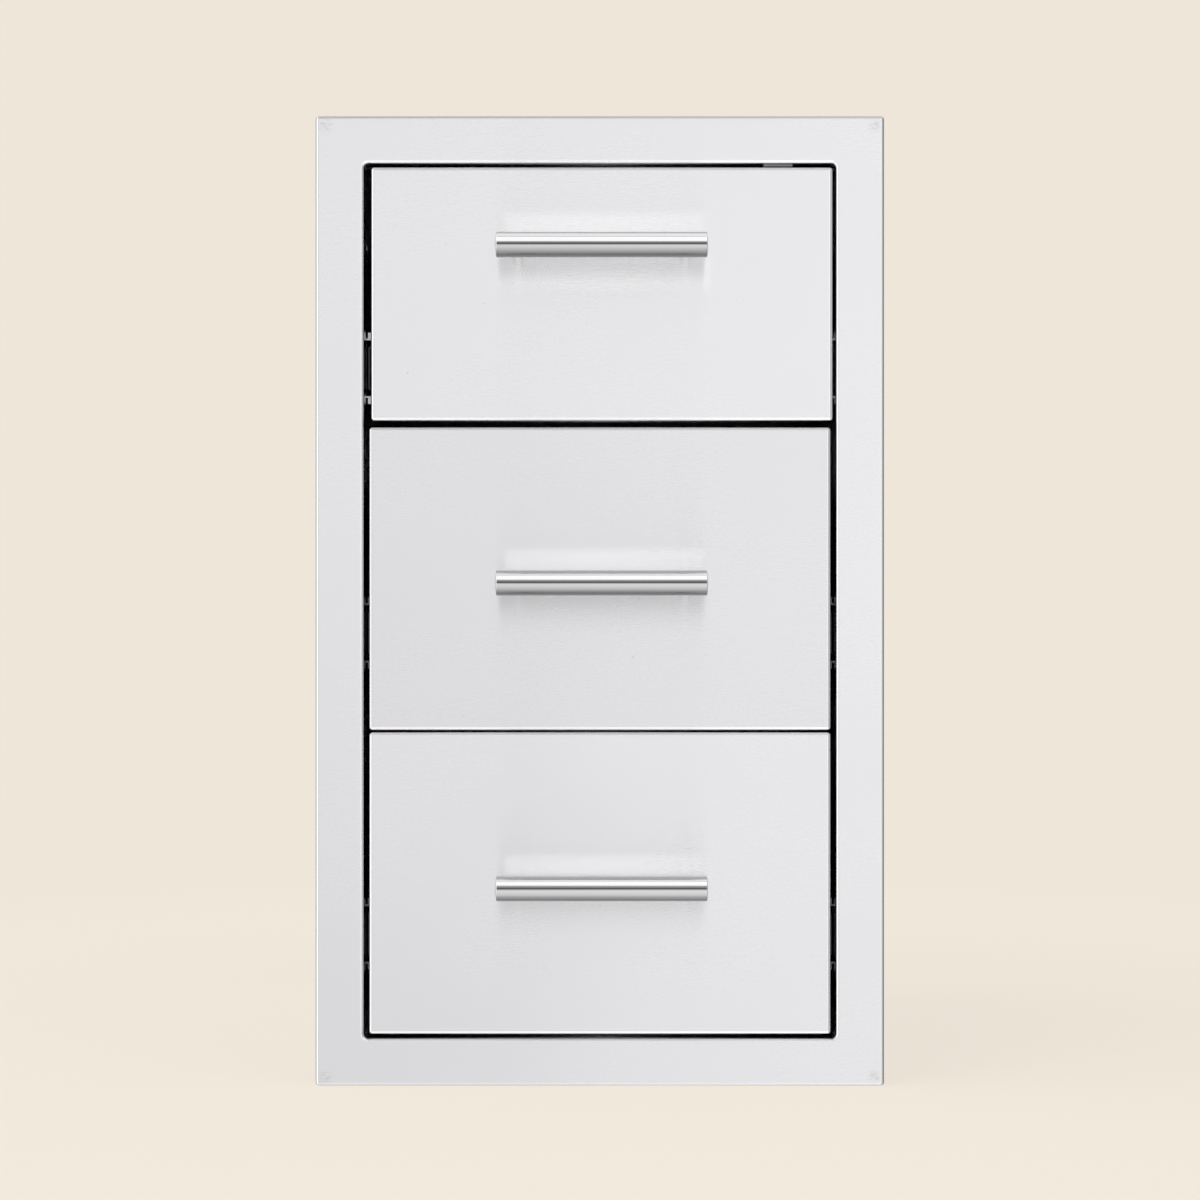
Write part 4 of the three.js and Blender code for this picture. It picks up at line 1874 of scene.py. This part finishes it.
@dataclass(frozen=True)
class Softbox:
    """A rectangular lamp.

    Attributes:
        name: its name.
        place: its middle.
        size: its width and its height.
        radiance: how bright its surface is, where 1 is white.
        lit: the finishes that it falls on; none for all.
        mirrored: whether metal mirrors it.
        facing: the point that it faces; none for the studio's own target.
        spread: how far its light fans out, in degrees.
    """

    name: str
    place: Triple
    size: Range
    radiance: float
    lit: tuple[Finish, ...] = ()
    mirrored: bool = True
    facing: Optional[Triple] = None
    spread: float = 180.0

    def hang(self, target: Vector) -> None:
        """Puts the lamp up.

        Args:
            target: what it faces where it has no point of its own to face.
        """
        data = bpy.data.lights.new(self.name, "AREA")
        data.shape, data.size, data.size_y = "RECTANGLE", *self.size
        data.energy = math.pi * self.size[0] * self.size[1] * self.radiance
        data.spread = math.radians(self.spread)
        lamp = bpy.data.objects.new(self.name, data)
        lamp.location = self.place
        toward = Vector(self.facing) if self.facing else target
        lamp.rotation_euler = (toward - Vector(self.place)).to_track_quat("-Z", "Y").to_euler()
        lamp.visible_camera = False
        lamp.visible_glossy = self.mirrored
        bpy.context.scene.collection.objects.link(lamp)
        if self.lit:
            lamp.light_linking.receiver_collection = self._receivers()

    def _receivers(self) -> bpy.types.Collection:
        """The pieces whose finish the lamp falls on.

        Returns:
            A collection of them.
        """
        materials = [material_of(finish) for finish in self.lit]
        receivers = bpy.data.collections.new(f"{self.name}_receivers")
        for piece in bpy.context.scene.objects:
            if piece.type == "MESH" and piece.data.materials and piece.data.materials[0] in materials:
                receivers.objects.link(piece)
        return receivers


# Where the beams of the bars start and end, along X and Y; their height; and their spread in degrees.
BEAM_X = 0.0034
BEAM_START = -0.11
BEAM_END = -0.0127
BEAM_HEIGHT = 0.026
BEAM_SPREAD = 8.0


def bar_beam(name: str, level: Level, heights: Range, width: float, radiance: float) -> Softbox:
    """The light that a polished bar throws back on the panel above or below it.

    Args:
        name: the lamp's name.
        level: the drawer whose bar it is.
        heights: where the beam starts and where it falls on the front.
        width: how wide the beam is.
        radiance: how bright it is.

    Returns:
        A narrow beam past the bar that falls on that drawer's front only.
    """
    start, end = heights
    return Softbox(
        name, (BEAM_X, BEAM_START, start), (width, BEAM_HEIGHT), radiance, (FRONT_STEEL[level],),
        facing=(BEAM_X, BEAM_END, end), spread=BEAM_SPREAD,
    )


# The light that a ramp's white stands for, since a ramp can't hold more than 1.
RAMP_WHITE = 2.0


@dataclass
class Studio:
    """The camera, the light and the floor.

    Attributes:
        backdrop: the flat colour behind the unit.
        distance: from the camera to the fronts' face.
        view_width: how much the picture is wide at that face.
        aim: where the camera looks, in X and Z.
        face: where the fronts' face is along Y.
        sensor: the width of the camera's sensor, in millimetres.
        sky: the light of the studio by its height in degrees, from behind over the floor to behind over
            the top.
        tilt: how far that light grows from left to right.
        sides: the light of the sides, by X from left to right.
        sides_range: how far to the side a direction points where the sides start and are full.
        flag: the light between the sides and the backdrop.
        flag_heights: how far up or down a direction points where the flag starts to end and ends.
        flag_depths: how far back it points where the flag starts and is full.
        backdrop_range: how far back it points where mirrors start to show the backdrop and show it.
        floor_reach: how far the floor reaches.
        floor_drop: how far it is below the unit.
        floor_colour: the floor's colour.
        floor_grain: the floor's faint mottle.
        floor_sway: how much lighter it makes the floor.
        evenness: how far the floor near the unit is flattened towards its plain colour.
        lift: how much lighter than the backdrop that colour is near the unit.
        pool_y: where the middle of the floor's lit part is along Y.
        pool_range: how far from there the floor starts to be flattened and is flat.
        softboxes: the lamps.
    """

    backdrop: Colour = (0.863, 0.791, 0.701, 1.0)
    distance: float = 2.24
    view_width: float = 0.9109
    aim: Range = (0.0001, 0.363)
    face: float = -0.0127
    sensor: float = 36.0
    sky: tuple[Range, ...] = (
        (-180, 0.7), (-150, 0.7), (-130, 1.0), (-110, 1.25), (-60, 1.25), (-44, 1.04), (-20, 0.94),
        (-10, 0.87), (-5, 0.5), (0, 0.12), (9, 0.12), (14, 0.3), (22, 0.46), (40, 0.55), (74, 0.58),
        (90, 0.6), (112, 0.62), (138, 0.62), (180, 0.6),
    )
    tilt: float = 0.55
    sides: tuple[Range, ...] = (
        (-1, 1.45), (-0.76, 1.45), (-0.62, 1.0), (-0.15, 0.95), (0.15, 0.9), (0.5, 0.82), (0.72, 0.5),
        (1, 0.5),
    )
    sides_range: Range = (0.16, 0.6)
    flag: float = 0.14
    flag_heights: Range = (0.4, 0.75)
    flag_depths: Range = (0.05, 0.35)
    backdrop_range: Range = (0.93, 0.99)
    floor_reach: float = 9.0
    floor_drop: float = 0.0004
    floor_colour: Colour = (0.86, 0.79, 0.7, 1.0)
    floor_grain: Grain = Grain((30.0, 30.0, 30.0), 3.0)
    floor_sway: float = 1.01
    evenness: float = 0.7
    lift: float = 1.15
    pool_y: float = 0.25
    pool_range: Range = (0.45, 1.6)
    softboxes: tuple[Softbox, ...] = (
        Softbox("key", (-1.3, -1.9, 2.1), (1.5, 1.5), 1.3, mirrored=False),
        Softbox("fill", (1.7, -1.6, 1.2), (1.4, 1.4), 0.65, mirrored=False),
        Softbox("bar_light", (0.0, -2.2, 2.84), (6.0, 2.5), 0.8, BAR_FINISHES),
        Softbox("bar_glow", (0.0, 0.6, 3.4), (6.0, 3.2), 0.5, BAR_FINISHES),
        Softbox("front_light", (0.3, -3.4, 1.25), (3.6, 2.7), 0.74, SHEET_FINISHES),
        Softbox("low_light", (0.9, -3.4, -0.62), (2.0, 0.5), 0.38, SHEET_FINISHES),
        bar_beam("top_glint", Level.TOP, (0.6432, 0.6432), 0.155, 0.0043),
        bar_beam("middle_glint", Level.MIDDLE, (0.3908, 0.3878), 0.155, 0.0054),
        bar_beam("bottom_glint", Level.BOTTOM, (0.1627, 0.1547), 0.155, 0.0074),
        bar_beam("top_underglow", Level.TOP, (0.6, 0.612), 0.164, 0.0054),
        Softbox("left_fill", (-2.6, 1.6, 0.8), (4.4, 2.4), 0.6, INNER_FINISHES),
        Softbox("right_fill", (2.6, 1.6, 0.8), (4.4, 2.4), 0.6, INNER_FINISHES),
    )

    def build(self) -> None:
        """Sets up the view, the light and the floor, once the pieces are there."""
        self._camera()
        self._world()
        middle = Vector((self.aim[0], self.face, self.aim[1]))
        for softbox in self.softboxes:
            softbox.hang(middle)
        self._floor()

    def _camera(self) -> None:
        """Sets up a level camera, square to the fronts."""
        data = bpy.data.cameras.new("camera")
        data.sensor_width = self.sensor
        data.lens = self.sensor * self.distance / self.view_width
        camera = bpy.data.objects.new("camera", data)
        camera.location = (self.aim[0], self.face - self.distance, self.aim[1])
        camera.rotation_euler = (math.pi / 2, 0.0, 0.0)
        bpy.context.scene.collection.objects.link(camera)
        bpy.context.scene.camera = camera

    def _world(self) -> None:
        """Makes the studio's light, with the flat backdrop where the camera looks."""
        world = bpy.data.worlds.new("studio")
        bpy.context.scene.world = world
        world.use_nodes = True
        graph = Graph(world.node_tree)
        x, y, z = graph.split(graph.node("ShaderNodeTexCoord", output="Generated"))
        light = self._studio_light(graph, x, y, z)
        camera = graph.node("ShaderNodeLightPath", output="Is Camera Ray")
        paths = camera.socket.node.outputs
        mirrored = Value(graph, paths["Is Glossy Ray"]) + Value(graph, paths["Is Transmission Ray"])
        behind = graph.rise(y, *self.backdrop_range)
        shown = graph.node("ShaderNodeClamp", {}, {"Value": camera + mirrored * behind})
        plain = graph.node("ShaderNodeCombineColor", {}, {"Red": light, "Green": light, "Blue": light})
        colour = graph.mix(shown, plain, self.backdrop)
        background = graph.node("ShaderNodeBackground", {}, {"Color": colour, "Strength": 1.0})
        graph.node("ShaderNodeOutputWorld", {}, {"Surface": background})

    def _studio_light(self, graph: Graph, x: Value, y: Value, z: Value) -> Value:
        """The light from overhead and from the sides, which the flag dims behind the unit.

        Args:
            graph: the world's graph.
            x: how far a direction points to the right.
            y: how far it points back.
            z: how far it points up.

        Returns:
            The light from that direction.
        """
        height = graph.math("ARCTAN2", z, 0.0 - y) / (2 * math.pi) + 0.5
        stops = [(degrees / 360 + 0.5, level / RAMP_WHITE) for degrees, level in self.sky]
        overhead = graph.ramp(height, stops) * (x * (RAMP_WHITE * self.tilt) + RAMP_WHITE)
        stops = [(across / 2 + 0.5, level / RAMP_WHITE) for across, level in self.sides]
        beside = graph.ramp(x / 2.0 + 0.5, stops) * RAMP_WHITE
        light = overhead + graph.rise(abs(x), *self.sides_range) * (beside - overhead)
        flagged = (1.0 - graph.rise(abs(z), *self.flag_heights)) * graph.rise(y, *self.flag_depths)
        return light + flagged * (self.flag - light)

    def _floor(self) -> None:
        """Lays a plain pale floor that takes the unit's shadow and runs into the backdrop."""
        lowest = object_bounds()[0].z
        bm = bmesh.new()
        bmesh.ops.create_grid(bm, x_segments=1, y_segments=1, size=self.floor_reach)
        bmesh.ops.translate(bm, verts=bm.verts, vec=(0.0, 0.0, lowest - self.floor_drop))
        mesh = bpy.data.meshes.new("floor")
        bm.to_mesh(mesh)
        bm.free()
        floor = bpy.data.objects.new("floor", mesh)
        bpy.context.scene.collection.objects.link(floor)
        floor.visible_glossy = False
        mesh.materials.append(self._floor_material())
        floor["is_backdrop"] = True

    def _floor_material(self) -> bpy.types.Material:
        """The floor's material, which gives way to the backdrop's plain colour.

        Returns:
            The material.
        """
        material = bpy.data.materials.new("pale_floor")
        material.use_nodes = True
        graph = Graph(material.node_tree)
        place = graph.place()
        x, y, _ = graph.split(place)
        far = graph.rise((x**2.0 + (y - self.pool_y) ** 2.0) ** 0.5, *self.pool_range)
        lighter = tuple(min(part * self.floor_sway, 1.0) for part in self.floor_colour)
        tone = graph.mix(graph.noise(place, self.floor_grain), self.floor_colour, lighter)
        lit = graph.node("ShaderNodeBsdfDiffuse", {}, {"Color": tone})
        lifted = tuple(part * self.lift for part in self.backdrop)
        plain = graph.mix(far, lifted, self.backdrop)
        flat = graph.node("ShaderNodeEmission", {}, {"Color": plain, "Strength": 1.0})
        seen = graph.node("ShaderNodeLightPath", output="Is Camera Ray")
        even = (far * (1.0 - self.evenness) + self.evenness) * seen
        mixed = graph.node("ShaderNodeMixShader", {}, {0: even, 1: lit, 2: flat})
        graph.node("ShaderNodeOutputMaterial", {}, {"Surface": mixed})
        return material


# ------------------------------------------------------------------------------------------------
# The whole unit


def main() -> None:
    """Loads the frame and builds the unit, part by part."""
    logging.basicConfig(level=logging.INFO, format="%(name)s: %(message)s")
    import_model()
    bpy.context.scene.view_settings.view_transform = "Standard"
    FaceFrame().build()
    Case().build()
    for level in Level:
        Front(level).build()
        Tub(level).build()
        BarHandle(level).build()
        for side in Side:
            Slide(level, side).build()
        Fasteners(level).build()
    Studio().build()


if __name__ == "__main__":
    main()
